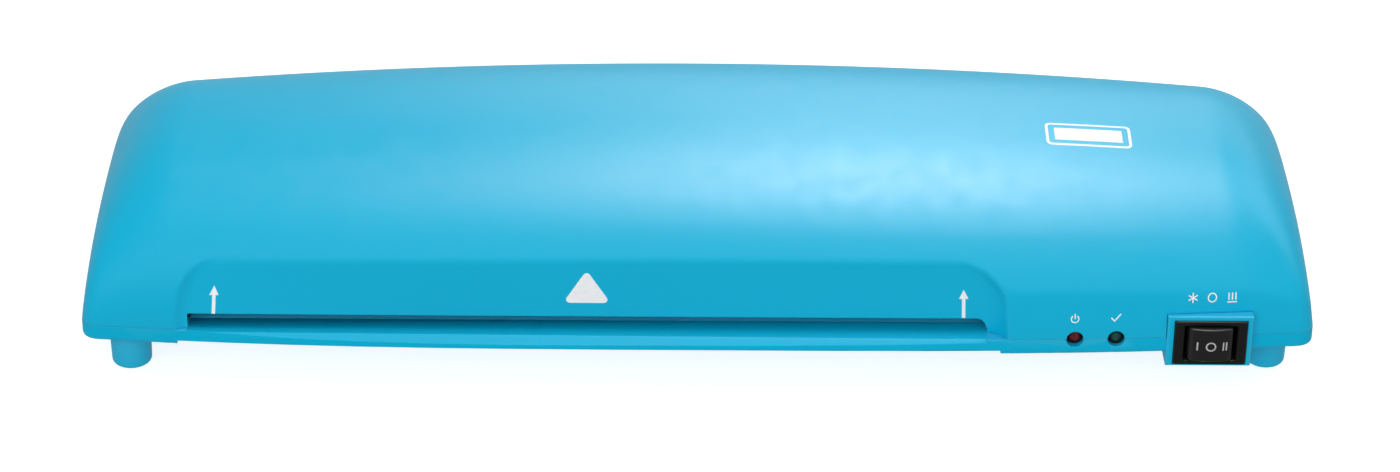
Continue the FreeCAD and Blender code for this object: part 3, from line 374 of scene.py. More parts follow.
def cover_net():
    """Vertices and faces of the cover's outer skin."""
    columns = cover_columns()
    rows = len(END_LIFTS)
    verts = []
    faces = []
    index = {}

    def add(key, point):
        index[key] = len(verts)
        verts.append(point)

    for i, column in enumerate(columns):
        for j in range(rows):
            x, lift = column_point(column, j)
            if j == rows - 1:
                add(("front", i, j), placed(x, 0.0, SEAM + lift))
                index[("rear", i, j)] = index[("front", i, j)]
                continue
            moved = front_lift(x, lift)
            add(("front", i, j), placed(x, front_surface(x, moved), SEAM + moved))
            add(("rear", i, j), placed(x, hood_rear(x, lift), SEAM + lift))

    def cut_away(side, i, j):
        """True where a face lies in the mouth, the switch notch, the exit slot or the gland's patch."""
        x = (columns[i] + columns[i + 1]) / 2
        lift = (END_LIFTS[j] + END_LIFTS[j + 1]) / 2
        if side == "front":
            return (between(x, MOUTH) and lift < MOUTH_LIFT) or (between(x, NOTCH) and lift < NOTCH_LIFT)
        return (between(x, EXIT) and between(lift, EXIT_LIFT)) or in_gland_patch(x, lift)

    for side in ("front", "rear"):
        for i in range(len(columns) - 1):
            for j in range(rows - 1):
                if not cut_away(side, i, j):
                    corners = ((i, j), (i + 1, j), (i + 1, j + 1), (i, j + 1))
                    faces.append([index[(side, *k)] for k in corners])
    gland_patch(columns, verts, faces, index)
    for i in (0, len(columns) - 1):
        end_cap(i, rows, verts, faces, index)
    return verts, faces


GLAND_ROWS = (LOW_ROWS[1], 17.3)     # the patch's lowest and highest row
GLAND_RINGS = 4
NEAR = 0.01                          # slack in finding the patch's columns and rows


def in_gland_patch(x, lift):
    return between(x, GLAND_COLUMNS) and between(lift, GLAND_ROWS)


def gland_patch(columns, verts, faces, index):
    """Rings between the gland's round hole and the net's square opening round it."""
    inside = [i for i, c in enumerate(columns) if between(c, GLAND_COLUMNS, NEAR)]
    left, right = inside[0], inside[-1]
    low = min(j for j, lift in enumerate(END_LIFTS) if GLAND_ROWS[0] - NEAR <= lift)
    high = max(j for j, lift in enumerate(END_LIFTS) if (END_LIFTS[j - 1] + lift) / 2 <= GLAND_ROWS[1])
    loop = [(i, low) for i in range(left, right)] + [(right, j) for j in range(low, high)]
    loop += [(i, high) for i in range(right, left, -1)] + [(left, j) for j in range(high, low, -1)]
    outer = [index[("rear", *k)] for k in loop]
    previous = outer
    for step in range(1, GLAND_RINGS + 1):
        ring = []
        for v in outer:
            x = verts[v].x / MM
            lift = verts[v].z / MM - SEAM
            angle = math.atan2(lift - GLAND_LIFT, x - GLAND_X)
            t = step / GLAND_RINGS
            rx = x + (GLAND_X + GLAND_HOLE * math.cos(angle) - x) * t
            rz = lift + (GLAND_LIFT + GLAND_HOLE * math.sin(angle) - lift) * t
            ring.append(len(verts))
            verts.append(placed(rx, hood_rear(rx, rz), SEAM + rz))
        for k in range(len(ring)):
            n = (k + 1) % len(ring)
            faces.append([previous[k], previous[n], ring[n], ring[k]])
        previous = ring


def end_cap(i, rows, verts, faces, index):
    """The flat end wall: level strips between the front and rear edges of the last column."""
    lines = []
    for j in range(rows - 1):
        a, b = index[("front", i, j)], index[("rear", i, j)]
        line = [a]
        for k in range(1, CAP_STEPS):
            line.append(len(verts))
            verts.append(verts[a].lerp(verts[b], k / CAP_STEPS))
        lines.append(line + [b])
    for low, high in zip(lines, lines[1:]):
        for k in range(CAP_STEPS):
            faces.append([low[k], low[k + 1], high[k + 1], high[k]])
    crest = index[("front", i, rows - 1)]
    for k in range(CAP_STEPS):
        faces.append([lines[-1][k], lines[-1][k + 1], crest])


# ---- materials ---------------------------------------------------------------
class Shader:
    """A node material under construction: a Principled shader with surface coordinates in metres."""

    def __init__(self, name, colour, roughness, metallic=0.0, specular=0.5):
        self.material = bpy.data.materials.new(name)
        self.material.use_nodes = True
        self.tree = self.material.node_tree
        self.shader = self.tree.nodes["Principled BSDF"]
        self.shader.inputs["Base Color"].default_value = (*colour, 1.0)
        self.shader.inputs["Roughness"].default_value = roughness
        self.shader.inputs["Metallic"].default_value = metallic
        self.shader.inputs["Specular IOR Level"].default_value = specular
        self.place = self.tree.nodes.new("ShaderNodeTexCoord").outputs["Object"]
        self.bumps = []

    def noise(self, scale, detail=2.0, stretch=None):
        """Noise with its features 1/scale metres apart, stretched along axes if asked."""
        node = self.tree.nodes.new("ShaderNodeTexNoise")
        node.inputs["Scale"].default_value = scale
        node.inputs["Detail"].default_value = detail
        place = self.place
        if stretch:
            mapping = self.tree.nodes.new("ShaderNodeMapping")
            mapping.inputs["Scale"].default_value = stretch
            self.tree.links.new(place, mapping.inputs["Vector"])
            place = mapping.outputs["Vector"]
        self.tree.links.new(place, node.inputs["Vector"])
        return node.outputs["Fac"]

    def ranged(self, value, low, high, from_low=0.3, from_high=0.7):
        node = self.tree.nodes.new("ShaderNodeMapRange")
        node.inputs["From Min"].default_value = from_low
        node.inputs["From Max"].default_value = from_high
        node.inputs["To Min"].default_value = low
        node.inputs["To Max"].default_value = high
        self.tree.links.new(value, node.inputs["Value"])
        return node.outputs["Result"]

    def blend(self, factor, first, second):
        node = self.tree.nodes.new("ShaderNodeMix")
        node.data_type = "RGBA"
        for socket, colour in ((node.inputs[6], first), (node.inputs[7], second)):
            if isinstance(colour, tuple):
                socket.default_value = (*colour, 1.0)
            else:
                self.tree.links.new(colour, socket)
        self.tree.links.new(factor, node.inputs["Factor"])
        return node.outputs[2]

    def colour(self, output):
        self.tree.links.new(output, self.shader.inputs["Base Color"])

    def rough(self, output):
        self.tree.links.new(output, self.shader.inputs["Roughness"])

    def bump(self, height, distance, strength=1.0):
        """Adds a height field; distance is its depth in metres."""
        node = self.tree.nodes.new("ShaderNodeBump")
        node.inputs["Distance"].default_value = distance
        node.inputs["Strength"].default_value = strength
        self.tree.links.new(height, node.inputs["Height"])
        if self.bumps:
            self.tree.links.new(self.bumps[-1].outputs["Normal"], node.inputs["Normal"])
        self.tree.links.new(node.outputs["Normal"], self.shader.inputs["Normal"])
        self.bumps.append(node)

    def edges(self):
        """1 on convex edges, 0 elsewhere."""
        point = self.tree.nodes.new("ShaderNodeNewGeometry").outputs["Pointiness"]
        return self.ranged(point, 0.0, 1.0, 0.52, 0.58)


def moulded_plastic(name, colour, roughness=0.36, grain=0.00002, specular=0.22):
    """Moulded ABS: fine spark-eroded grain, slow tone drift, and a painted highlight: convex edges blended
    towards a paler colour.
    """
    s = Shader(name, colour, roughness, specular=specular)
    drift = s.noise(9.0)
    shade = tuple(c * 0.965 for c in colour)
    # painted highlight: this paler colour is blended in along convex edges, as if light caught them
    painted_edge_highlight = tuple(c + (1 - c) * 0.10 for c in colour)
    tone = s.blend(s.ranged(drift, 0.0, 1.0), shade, colour)
    s.colour(s.blend(s.ranged(s.edges(), 0.0, 0.45, 0.0, 1.0), tone, painted_edge_highlight))
    s.rough(s.ranged(s.noise(160.0, 3.0), roughness - 0.03, roughness + 0.04))
    s.bump(s.noise(2600.0, 3.0), grain, 0.35)
    s.bump(s.noise(60.0, 1.0), 0.00001, 0.1)
    return s.material


def rubber(name, colour, roughness=0.7):
    s = Shader(name, colour, roughness, specular=0.3)
    dusty = tuple(c + (0.4 - c) * 0.12 for c in colour)
    s.colour(s.blend(s.ranged(s.noise(120.0, 4.0), 0.0, 1.0), colour, dusty))
    s.rough(s.ranged(s.noise(400.0, 2.0), roughness - 0.08, roughness + 0.08))
    s.bump(s.noise(1800.0, 3.0), 0.00003, 0.5)
    return s.material


def brushed_metal(name, colour, roughness=0.3, stretch=(1.0, 12.0, 12.0)):
    """Rolled or turned metal with fine lines along X."""
    s = Shader(name, colour, roughness, metallic=1.0)
    lines = s.noise(500.0, 4.0, stretch)
    dull = tuple(c * 0.82 for c in colour)
    s.colour(s.blend(s.ranged(s.noise(60.0, 3.0), 0.0, 0.6), colour, dull))
    s.rough(s.ranged(lines, roughness - 0.08, roughness + 0.14))
    s.bump(lines, 0.00001, 0.4)
    return s.material


def clear_lens(name, colour, roughness=0.08):
    """Tinted lamp lens: deep colour under a glossy skin with faint moulding lines."""
    s = Shader(name, colour, roughness, specular=0.35)
    deep = tuple(c * 0.35 for c in colour)
    s.colour(s.blend(s.ranged(s.noise(700.0, 2.0), 0.0, 1.0), deep, colour))
    s.rough(s.ranged(s.noise(300.0, 2.0), roughness, roughness + 0.08))
    s.bump(s.noise(900.0, 2.0), 0.00001, 0.3)
    s.shader.inputs["Coat Weight"].default_value = 0.1
    return s.material


def fibre_board(name, colour, roughness=0.45):
    s = Shader(name, colour, roughness)
    weave = s.noise(1500.0, 2.0, (1.0, 1.0, 6.0))
    dark = tuple(c * 0.6 for c in colour)
    s.colour(s.blend(s.ranged(weave, 0.0, 1.0), dark, colour))
    s.rough(s.ranged(s.noise(300.0), roughness - 0.1, roughness + 0.1))
    s.bump(weave, 0.00002, 0.4)
    return s.material


def pad_ink(name, thin, full):
    """Pad-printed ink: slightly uneven cover and a dry surface."""
    s = Shader(name, full, 0.55, specular=0.3)
    s.colour(s.blend(s.ranged(s.noise(900.0, 3.0), 0.0, 1.0), thin, full))
    s.rough(s.ranged(s.noise(1400.0, 2.0), 0.45, 0.65))
    s.bump(s.noise(3000.0, 2.0), 0.00001, 0.3)
    return s.material


BLUE = (0.0, 0.46, 0.72)
MATERIALS = {
    "cover_blue": moulded_plastic("cover_blue", BLUE),
    "base_blue": moulded_plastic("base_blue", BLUE, 0.45, specular=0.12),
    "foot_blue": moulded_plastic("foot_blue", BLUE, 0.45, specular=0.12),
    "screw_steel": brushed_metal("screw_steel", (0.55, 0.55, 0.56), 0.32),
    "gland_black": moulded_plastic("gland_black", (0.012, 0.012, 0.013), 0.5, specular=0.4),
    "switch_black": moulded_plastic("switch_black", (0.005, 0.005, 0.006), 0.42, specular=0.18),
    "terminal_brass": brushed_metal("terminal_brass", (0.72, 0.52, 0.22), 0.28),
    "rocker_black": moulded_plastic("rocker_black", (0.008, 0.008, 0.009), 0.40, specular=0.22),
    "lamp_red": clear_lens("lamp_red", (0.20, 0.008, 0.013)),
    "lamp_green": clear_lens("lamp_green", (0.0, 0.075, 0.06)),
    "board_green": fibre_board("board_green", (0.02, 0.20, 0.07)),
    "plate_steel": brushed_metal("plate_steel", (0.60, 0.61, 0.62), 0.36),
    "bush_bronze": brushed_metal("bush_bronze", (0.52, 0.33, 0.14), 0.4),
    "block_white": moulded_plastic("block_white", (0.72, 0.71, 0.67), 0.45, specular=0.4),
    "spring_steel": brushed_metal("spring_steel", (0.50, 0.50, 0.52), 0.25),
    "shaft_steel": brushed_metal("shaft_steel", (0.62, 0.62, 0.63), 0.22),
    "silicone": rubber("silicone", (0.42, 0.055, 0.035), 0.55),
    "gear_nylon": moulded_plastic("gear_nylon", (0.75, 0.73, 0.66), 0.42, specular=0.4),
    "motor_case": brushed_metal("motor_case", (0.56, 0.56, 0.55), 0.3),
    "shoe_aluminium": brushed_metal("shoe_aluminium", (0.78, 0.79, 0.80), 0.34),
    "heater_mica": fibre_board("heater_mica", (0.45, 0.36, 0.22), 0.5),
    "holder_brown": moulded_plastic("holder_brown", (0.16, 0.07, 0.03), 0.5, specular=0.4),
    "thermostat_black": moulded_plastic("thermostat_black", (0.02, 0.018, 0.016), 0.4, specular=0.5),
    "fuse_white": moulded_plastic("fuse_white", (0.70, 0.69, 0.65), 0.3, specular=0.5),
    "lead_insulation": rubber("lead_insulation", (0.06, 0.06, 0.07), 0.5),
    "guide_black": brushed_metal("guide_black", (0.05, 0.05, 0.055), 0.45),
}
INK = pad_ink("white_ink", (0.88, 0.91, 0.93), (0.97, 0.98, 0.99))
GREY_INK = pad_ink("grey_ink", (0.42, 0.43, 0.44), (0.52, 0.53, 0.54))

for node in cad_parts.values():
    for place in node.material_slots:
        place.material = MATERIALS[place.material.name.split(".")[0]]


# ---- cover piece -------------------------------------------------------------
COVER_EDGE = 0.2
COVER_EDGE_ANGLE = math.radians(55)


def cover_skin():
    """The cover: its net, thickened inwards, with its sharp edges bevelled."""
    verts, faces = cover_net()
    piece = mesh_piece("cover_skin", verts, faces, slot="cover_blue", material=MATERIALS["cover_blue"])
    wall = piece.modifiers.new("wall", "SOLIDIFY")
    wall.thickness = WALL * MM
    wall.offset = -1.0
    edge = piece.modifiers.new("edge", "BEVEL")
    edge.width = COVER_EDGE * MM
    edge.segments = 2
    edge.limit_method = "ANGLE"
    edge.angle_limit = COVER_EDGE_ANGLE
    edge.use_clamp_overlap = False
    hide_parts("top_cover")


cover_skin()


# ---- turned and lofted pieces ------------------------------------------------
ROUNDING_STEP = math.radians(15)


def rounded(corners):
    """A closed outline from (a, b, radius) corners."""
    points = []
    count = len(corners)
    for i, (a, b, radius) in enumerate(corners):
        corner = Vector((a, b))
        if radius == 0:
            points.append(corner)
            continue
        before = Vector(corners[i - 1][:2]) - corner
        after = Vector(corners[(i + 1) % count][:2]) - corner
        half = before.angle(after) / 2
        reach = radius / math.tan(half)
        middle = corner + (before.normalized() + after.normalized()).normalized() * (radius / math.sin(half))
        start = corner + before.normalized() * reach - middle
        end = corner + after.normalized() * reach - middle
        turn = start.angle_signed(end)
        steps = max(3, round(abs(turn) / ROUNDING_STEP))
        for k in range(steps + 1):
            points.append(middle + Matrix.Rotation(-turn * k / steps, 2) @ start)
    return points


def turned(outline, centre, axis, segments=64):
    """Net of a closed outline of (radius, distance along) turned about an axis through centre."""
    verts = []
    faces = []
    count = len(outline)
    for k in range(segments):
        angle = 2 * math.pi * k / segments
        for radius, along in outline:
            a, b = radius * math.cos(angle), radius * math.sin(angle)
            shift = (a, along, b) if axis == "y" else (a, b, along)
            verts.append(placed(*(c + d for c, d in zip(centre, shift))))
    for k in range(segments):
        n = (k + 1) % segments
        for i in range(count):
            j = (i + 1) % count
            faces.append([k * count + i, k * count + j, n * count + j, n * count + i])
    return verts, faces


def lofted(loops):
    """Net through closed loops of equal length, with its two ends closed."""
    verts = [v for loop in loops for v in loop]
    count = len(loops[0])
    faces = [list(range(count)), list(range(len(verts) - count, len(verts)))]
    for level in range(len(loops) - 1):
        low, high = level * count, (level + 1) * count
        for i in range(count):
            j = (i + 1) % count
            faces.append([low + i, low + j, high + j, high + i])
    return verts, faces


def joined(*nets):
    verts = []
    faces = []
    for more_verts, more_faces in nets:
        start = len(verts)
        verts += more_verts
        faces += [[start + i for i in face] for face in more_faces]
    return verts, faces


FOOT_RADII = (5.75, 6.05)            # at the table and at the casing
FOOT_ROUND = 1.5


def foot(name, x, y):
    low, high = FOOT_RADII
    outline = rounded([(0, 0, 0), (low, 0, FOOT_ROUND), (high, FOOT_TOP, 0), (0, FOOT_TOP, 0)])
    verts, faces = turned(outline, (x, y, 0), "z")
    piece = mesh_piece(name + "_skin", verts, faces, slot="foot_blue", material=MATERIALS["foot_blue"])
    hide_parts(name)


GLAND_CENTRE = (GLAND_X, 0, SEAM + GLAND_LIFT)
GLAND_SEGMENTS = 96
GLAND_BORE = 3.5                     # radii of the gland's bore, of its neck in the wall and of its boss
GLAND_NECK = 5.5
BOSS_RADIUS = 8.5
BOSS_BACK = 43.0


def gland_boss():
    """Raised ring of the cover round the cord gland."""
    outline = rounded([(BOSS_RADIUS, BOSS_BACK, 0), (BOSS_RADIUS, GLAND_FACE, 0.5),
                       (GLAND_NECK, GLAND_FACE, 0.25), (GLAND_NECK, BOSS_BACK, 0)])
    verts, faces = turned(outline, GLAND_CENTRE, "y", GLAND_SEGMENTS)
    piece = mesh_piece("cover_gland_boss", verts, faces, slot="cover_blue", material=MATERIALS["cover_blue"])
    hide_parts("top_cover")


def cord_gland():
    """Black bush with a flange on each side of the wall, a grip ring and a rounded bore."""
    face = GLAND_FACE
    outline = rounded([
        (GLAND_BORE, face - 7.6, 0.3), (6.8, face - 7.6, 0.3), (6.8, face - 6.0, 0.2),
        (GLAND_NECK, face - 6.0, 0), (GLAND_NECK, face, 0), (7.5, face, 0), (7.5, face + 2.0, 0.8),
        (5.3, face + 2.0, 0.2), (5.1, face + 1.5, 0.2), (4.5, face + 1.5, 0.2), (4.3, face + 2.0, 0.15),
        (GLAND_BORE, face + 2.0, 0.3)])
    verts, faces = turned(outline, GLAND_CENTRE, "y", GLAND_SEGMENTS)
    piece = mesh_piece("cord_gland_skin", verts, faces, slot="gland_black", material=MATERIALS["gland_black"])
    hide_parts("cord_gland")


LENS_RADIUS = 1.75
LENS_FRONT = -56.4                   # where the lens's dome begins
LENS_DOME = 1.1
LAMP_LEAD_SIDE = 1.27


def lamp(name, x, slot):
    """Indicator lamp: a tinted lens with a domed front in a black ring, on two leads. The black ring is
    painted shade: it stands for the shadow in the gap round the lens.
    """
    centre = (x, 0, LAMP_Z)
    dome = [(LENS_RADIUS * math.sin(a), LENS_FRONT - LENS_DOME * math.cos(a))
            for a in (math.pi / 2 * k / 8 for k in range(9))]
    lens = dome + [(LENS_RADIUS, -52.1), (2.8, -52.1), (2.8, -50.95), (0, -50.95)]
    nets = [turned(lens, centre, "y", 48)]
    lead = [(0, -51.2), (0.3, -51.2), (0.3, -49.5), (0, -49.5)]
    for side in (-LAMP_LEAD_SIDE, LAMP_LEAD_SIDE):
        nets.append(turned(lead, (x + side, 0, LAMP_Z), "y", 12))
    piece = mesh_piece(name + "_lens", *joined(*nets), slot=slot, material=MATERIALS[slot])
    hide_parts(name)
    # painted shade: a black sleeve lines the hole round the lens in place of the shadow in that gap
    ring = rounded([(1.8, -52.3, 0), (2.45, -52.3, 0), (2.45, -57.0, 0.2), (1.8, -56.6, 0.1)])
    verts, faces = turned(ring, centre, "y", 48)
    piece = mesh_piece(name + "_ring", verts, faces, slot="switch_black", material=MATERIALS["switch_black"])
    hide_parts(name)


def frame_loop(half_x, half_z, radius, y):
    """Rounded rectangle about the switch axis, in an upright plane."""
    corners = [(-half_x, -half_z, radius), (half_x, -half_z, radius),
               (half_x, half_z, radius), (-half_x, half_z, radius)]
    return [placed(SWITCH[0] + a, y, SWITCH[1] + b) for a, b in rounded(corners)]


BEZEL = (10.5, 7.2)                  # half sizes, across and up, of the switch's bezel, barrel and cavity
BARREL = (9.3, 6.3)
CAVITY = (7.6, 5.7)
BEZEL_ROUND = 0.8
BARREL_ROUND = 0.6
CAVITY_ROUND = 0.5
BEZEL_BACK = SWITCH_FACE + 1.0
BARREL_BACK = -45.5
CAVITY_BACK = -48.0
BEZEL_PROUD = 0.5
BEZEL_EDGE = 0.4
QUARTER = [math.pi / 2 * k / 4 for k in range(5)]


def switch_body():
    """Bezel with rounded edges, barrel behind it and the cavity for the rocker."""
    front = SWITCH_FACE - BEZEL_PROUD
    loops = [frame_loop(*BARREL, BARREL_ROUND, BARREL_BACK), frame_loop(*BARREL, BARREL_ROUND, BEZEL_BACK),
             frame_loop(*BEZEL, BEZEL_ROUND, BEZEL_BACK)]
    for a in QUARTER:
        inset = BEZEL_EDGE * (1 - math.cos(a))
        depth = front + BEZEL_EDGE * (1 - math.sin(a))
        loops.append(frame_loop(BEZEL[0] - inset, BEZEL[1] - inset, BEZEL_ROUND, depth))
    for a in QUARTER:
        grow = BEZEL_EDGE * (1 - math.sin(a))
        depth = front + BEZEL_EDGE * (1 - math.cos(a))
        loops.append(frame_loop(CAVITY[0] + grow, CAVITY[1] + grow, CAVITY_ROUND, depth))
    loops.append(frame_loop(*CAVITY, CAVITY_ROUND, CAVITY_BACK))
    net = lofted(loops)
    piece = mesh_piece("switch_bezel", *net, slot="switch_black", material=MATERIALS["switch_black"])
    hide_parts("switch_body")


ROCKER_CROWN = 0.95
ROCKER_EDGE = 0.5
ROCKER_BACK = -50.4
PIN_RADIUS = 0.8
PIN_REACH = 6.15                     # above and below the switch's middle
PIN_Y = -53.0


def rocker_face(x):
    """Depth of the rocker's face, a shallow crown."""
    return ROCKER_FACE + ROCKER_CROWN * (x / ROCKER_HALF[0]) ** 2


def rocker():
    """Three-position rocker with rounded edges and its two pivot pins."""
    half_x, half_z = ROCKER_HALF
    edge = ROCKER_EDGE
    turn = [math.pi / 2 * k / 6 for k in range(7)]
    upper = [(edge * (1 - math.cos(a)), half_z - edge + edge * math.sin(a)) for a in turn]
    levels = [(inset, -z) for inset, z in reversed(upper)] + upper
    loops = []
    for inset, z in levels:
        loop = []
        reach = half_x - inset
        side = rocker_face(half_x) + edge + inset
        for a in turn[:-1]:
            loop.append((reach - edge * (1 - math.cos(a)), side - edge * math.sin(a)))
        for k in range(25):
            x = (reach - edge) * (1 - k / 12)
            loop.append((x, rocker_face(x) + inset))
        for a in reversed(turn[:-1]):
            loop.append((-reach + edge * (1 - math.cos(a)), side - edge * math.sin(a)))
        loop += [(-reach, ROCKER_BACK), (reach, ROCKER_BACK)]
        loops.append([placed(SWITCH[0] + x, y, SWITCH[1] + z) for x, y in loop])
    pin = [(0, -PIN_REACH), (PIN_RADIUS, -PIN_REACH), (PIN_RADIUS, PIN_REACH), (0, PIN_REACH)]
    pins = turned(pin, (SWITCH[0], PIN_Y, SWITCH[1]), "z", 24)
    net = joined(lofted(loops), pins)
    black = MATERIALS["rocker_black"]
    piece = mesh_piece("rocker_cap", *net, body="rocker", slot="rocker_black", material=black)
    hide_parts("rocker")


BASE_EDGE = 0.12
BASE_WELD = 2e-6                     # in metres
BASE_FLAT = math.radians(0.4)        # facets that bend less than this are merged
BASE_SHARP = math.radians(40)        # edges that bend more than this are bevelled
BASE_SMOOTH = math.radians(32)
REAR_RIM = 38.0 * MM                 # behind this facets stay as they are, and the bevel is narrower
REAR_WEIGHT = 0.25
LEVEL = 0.9                          # level faces stay as they are too: merging them leaves gaps


def base_skin():
    """A copy of the CAD base with the facets of its front walls merged and its sharp edges bevelled."""
    mesh = bpy.data.meshes.new("base_skin")
    bm = bmesh.new()
    bm.from_mesh(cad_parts["base_shell"].data)
    bmesh.ops.remove_doubles(bm, verts=bm.verts, dist=BASE_WELD)
    ahead = [v for v in bm.verts if v.co.y < REAR_RIM]
    flat = [e for e in bm.edges if all(v.co.y < REAR_RIM for v in e.verts)
            and not all(abs(f.normal.z) > LEVEL for f in e.link_faces)]
    bmesh.ops.dissolve_limit(bm, angle_limit=BASE_FLAT, verts=ahead, edges=flat)
    weights = bm.edges.layers.float.new("bevel_weight_edge")
    for edge in bm.edges:
        if edge.is_manifold and edge.calc_face_angle() > BASE_SHARP:
            middle = (edge.verts[0].co.y + edge.verts[1].co.y) / 2
            edge[weights] = 1.0 if middle < REAR_RIM else REAR_WEIGHT
    bm.to_mesh(mesh)
    bm.free()
    piece = bpy.data.objects.new("base_skin", mesh)
    bpy.context.scene.collection.objects.link(piece)
    mesh.materials.clear()
    mesh.materials.append(MATERIALS["base_blue"])
    mesh.shade_smooth()
    mesh.set_sharp_from_angle(angle=BASE_SMOOTH)
    bevel = piece.modifiers.new("edge", "BEVEL")
    bevel.width = BASE_EDGE * MM
    bevel.segments = 2
    bevel.limit_method = "WEIGHT"
    bevel.use_clamp_overlap = False
    bevel.harden_normals = True
    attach(piece, "casing")
    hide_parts("base_shell")


for name, (x, y) in FEET.items():
    foot(name, x, y)
gland_boss()
cord_gland()
lamp("power_lamp", LAMP_X[0], "lamp_red")
lamp("ready_lamp", LAMP_X[1], "lamp_green")
switch_body()
rocker()
base_skin()


# ---- printed marks -----------------------------------------------------------
PRINT_PROUD = 0.03
PRINT_SUNK = -0.06                   # underside of a print, below the surface
SAME = 1e-6
STROKE_STEP = 0.8
HOOD_HALVINGS = 30


def on_front(x, z, proud):
    return placed(x, front_surface(x, z - SEAM) - proud, z)


def on_hood(x, y, proud):
    low, high = 0.6 * CREST_RISE, CREST_RISE
    for _ in range(HOOD_HALVINGS):
        lift = (low + high) / 2
        if lift < crest_lift(share_of(x, lift)) and hood_front(x, lift) < y:
            low = lift
        else:
            high = lift
    return placed(x, y, SEAM + low + proud)


def on_rocker(x, z, proud):
    return placed(SWITCH[0] + x, rocker_face(x) - proud, SWITCH[1] + z)


def printed(name, patches, surface, body="casing", slot="cover_blue", material=INK):
    """A print as closed thin nets laid on a surface. A patch is rows of (u, v) points."""
    nets = []
    for rows in patches:
        count = len(rows[0])
        first, last = rows[0][0], rows[0][-1]
        wraps = math.dist(first, last) < SAME and math.dist(rows[-1][0], rows[-1][-1]) < SAME
        verts = [surface(u, v, depth) for depth in (PRINT_PROUD, PRINT_SUNK) for row in rows for u, v in row]
        size = len(rows) * count
        faces = []
        for r in range(len(rows) - 1):
            for c in range(count - 1):
                quad = [r * count + c, r * count + c + 1, (r + 1) * count + c + 1, (r + 1) * count + c]
                faces.append(quad)
                faces.append([size + i for i in quad])
            for c in () if wraps else (0, count - 1):
                a, b = r * count + c, (r + 1) * count + c
                faces.append([a, b, size + b, size + a])
        for r in (0, len(rows) - 1):
            if math.dist(rows[r][0], rows[r][count // 2]) < SAME:
                continue
            for c in range(count - 1):
                a, b = r * count + c, r * count + c + 1
                faces.append([a, b, size + b, size + a])
        nets.append((verts, faces))
    mesh_piece(name, *joined(*nets), body=body, slot=slot, material=material, smooth_angle=60)


def bar(u0, u1, v0, v1, step=STROKE_STEP):
    """A filled rectangle."""
    across = divided(u0, (u1, step))
    return [[(u, v) for u in across] for v in divided(v0, (v1, step))]


def stroke(start, end, width):
    """A straight stroke from start to end."""
    start, end = Vector(start), Vector(end)
    side = (end - start).orthogonal().normalized() * (width / 2)
    count = max(1, math.ceil((end - start).length / STROKE_STEP))
    rows = []
    for k in range(count + 1):
        middle = start.lerp(end, k / count)
        rows.append([tuple(middle - side), tuple(middle + side)])
    return rows


def ring(u, v, radius_u, radius_v, width, begin=0.0, sweep=2 * math.pi, steps=36):
    """An elliptical ring, or the stretch of it that a sweep covers."""
    rows = []
    for shrink in (0.0, width):
        row = []
        for k in range(steps + 1):
            a = begin + sweep * k / steps
            row.append((u + (radius_u - shrink) * math.cos(a), v + (radius_v - shrink) * math.sin(a)))
        rows.append(row)
    return rows


def filled(outline, centre, steps=5):
    """A patch that fills a closed outline from its centre."""
    loop = [tuple(p) for p in outline]
    loop.append(loop[0])
    centre = Vector(centre)
    return [[tuple(centre.lerp(Vector(p), k / steps)) for p in loop] for k in range(steps + 1)]


ARROW_HEAD = 2.95
ARROW_HALF = 1.35
ARROW_STEM = 0.5
ARROW_LAP = 0.01


def arrow(u, low, high, lean):
    """Upward arrow whose tip stands lean to the right of its foot."""
    rows = [[(u + side * ARROW_HALF * t, high - ARROW_HEAD * t) for side in (-1, -0.5, 0, 0.5, 1)]
            for t in (0, 0.25, 0.5, 0.75, 1)]
    neck = high - ARROW_HEAD
    patches = [bar(u - ARROW_STEM, u + ARROW_STEM, low, neck + ARROW_LAP), rows]
    return [[[(a + lean * (b - low) / (high - low), b) for a, b in row] for row in patch]
            for patch in patches]


TRIANGLE_ROUND = 1.1


def triangle():
    """Plain triangle with rounded corners."""
    left, right, low, high = -38.9, -25.2, 26.3, 37.0
    middle = (left + right) / 2
    outline = rounded([(*corner, TRIANGLE_ROUND) for corner in ((left, low), (right, low), (middle, high))])
    return [filled(outline, (middle, low + (high - low) / 3), 8)]


MARK_WIDTH = 0.34                    # line widths of the small marks
BOLD_WIDTH = 0.36
ROCKER_WIDTH = 0.42
FLAKE_REACH = 1.5


def cold_mark(u, v):
    """Three crossed strokes."""
    arms = []
    centre = Vector((u, v))
    for k in range(3):
        angle = math.pi / 2 + math.pi * k / 3
        reach = Vector((math.cos(angle), math.sin(angle))) * FLAKE_REACH
        arms.append(stroke(centre - reach, centre + reach, MARK_WIDTH))
    return arms


def hot_mark(u, v):
    """Three upright strokes over a bar."""
    marks = [stroke((u + d, v - 0.6), (u + d, v + 1.5), BOLD_WIDTH) for d in (-1.0, 0.0, 1.0)]
    return marks + [stroke((u - 1.4, v - 1.25), (u + 1.4, v - 1.25), BOLD_WIDTH)]


def finer(loop, count):
    """Points spread evenly along a closed outline, the first one repeated at the end."""
    loop = [Vector(p) for p in loop]
    loop.append(loop[0])
    lengths = [0.0]
    for a, b in zip(loop, loop[1:]):
        lengths.append(lengths[-1] + (b - a).length)
    spots = []
    k = 0
    for i in range(count):
        at = lengths[-1] * i / count
        while lengths[k + 1] < at:
            k += 1
        share = (at - lengths[k]) / max(lengths[k + 1] - lengths[k], 1e-9)
        spots.append(tuple(loop[k].lerp(loop[k + 1], share)))
    return spots + spots[:1]


POUCH_ROUND = 1.6
POUCH_LINE = 0.8
POUCH_MARGIN = (2.6, 2.4)


def pouch_mark():
    """Pictogram of a sheet in a pouch."""
    left, right, near, far = 101.0, 126.0, -21.0, -10.5
    outline = []
    for inset in (0.0, POUCH_LINE):
        turn = POUCH_ROUND - inset
        corners = [(left + inset, near + inset, turn), (right - inset, near + inset, turn),
                   (right - inset, far - inset, turn), (left + inset, far - inset, turn)]
        outline.append(finer(rounded(corners), 96))
    across, up = POUCH_MARGIN
    return [outline, bar(left + across, right - across, near + up, far - up, 1.2)]


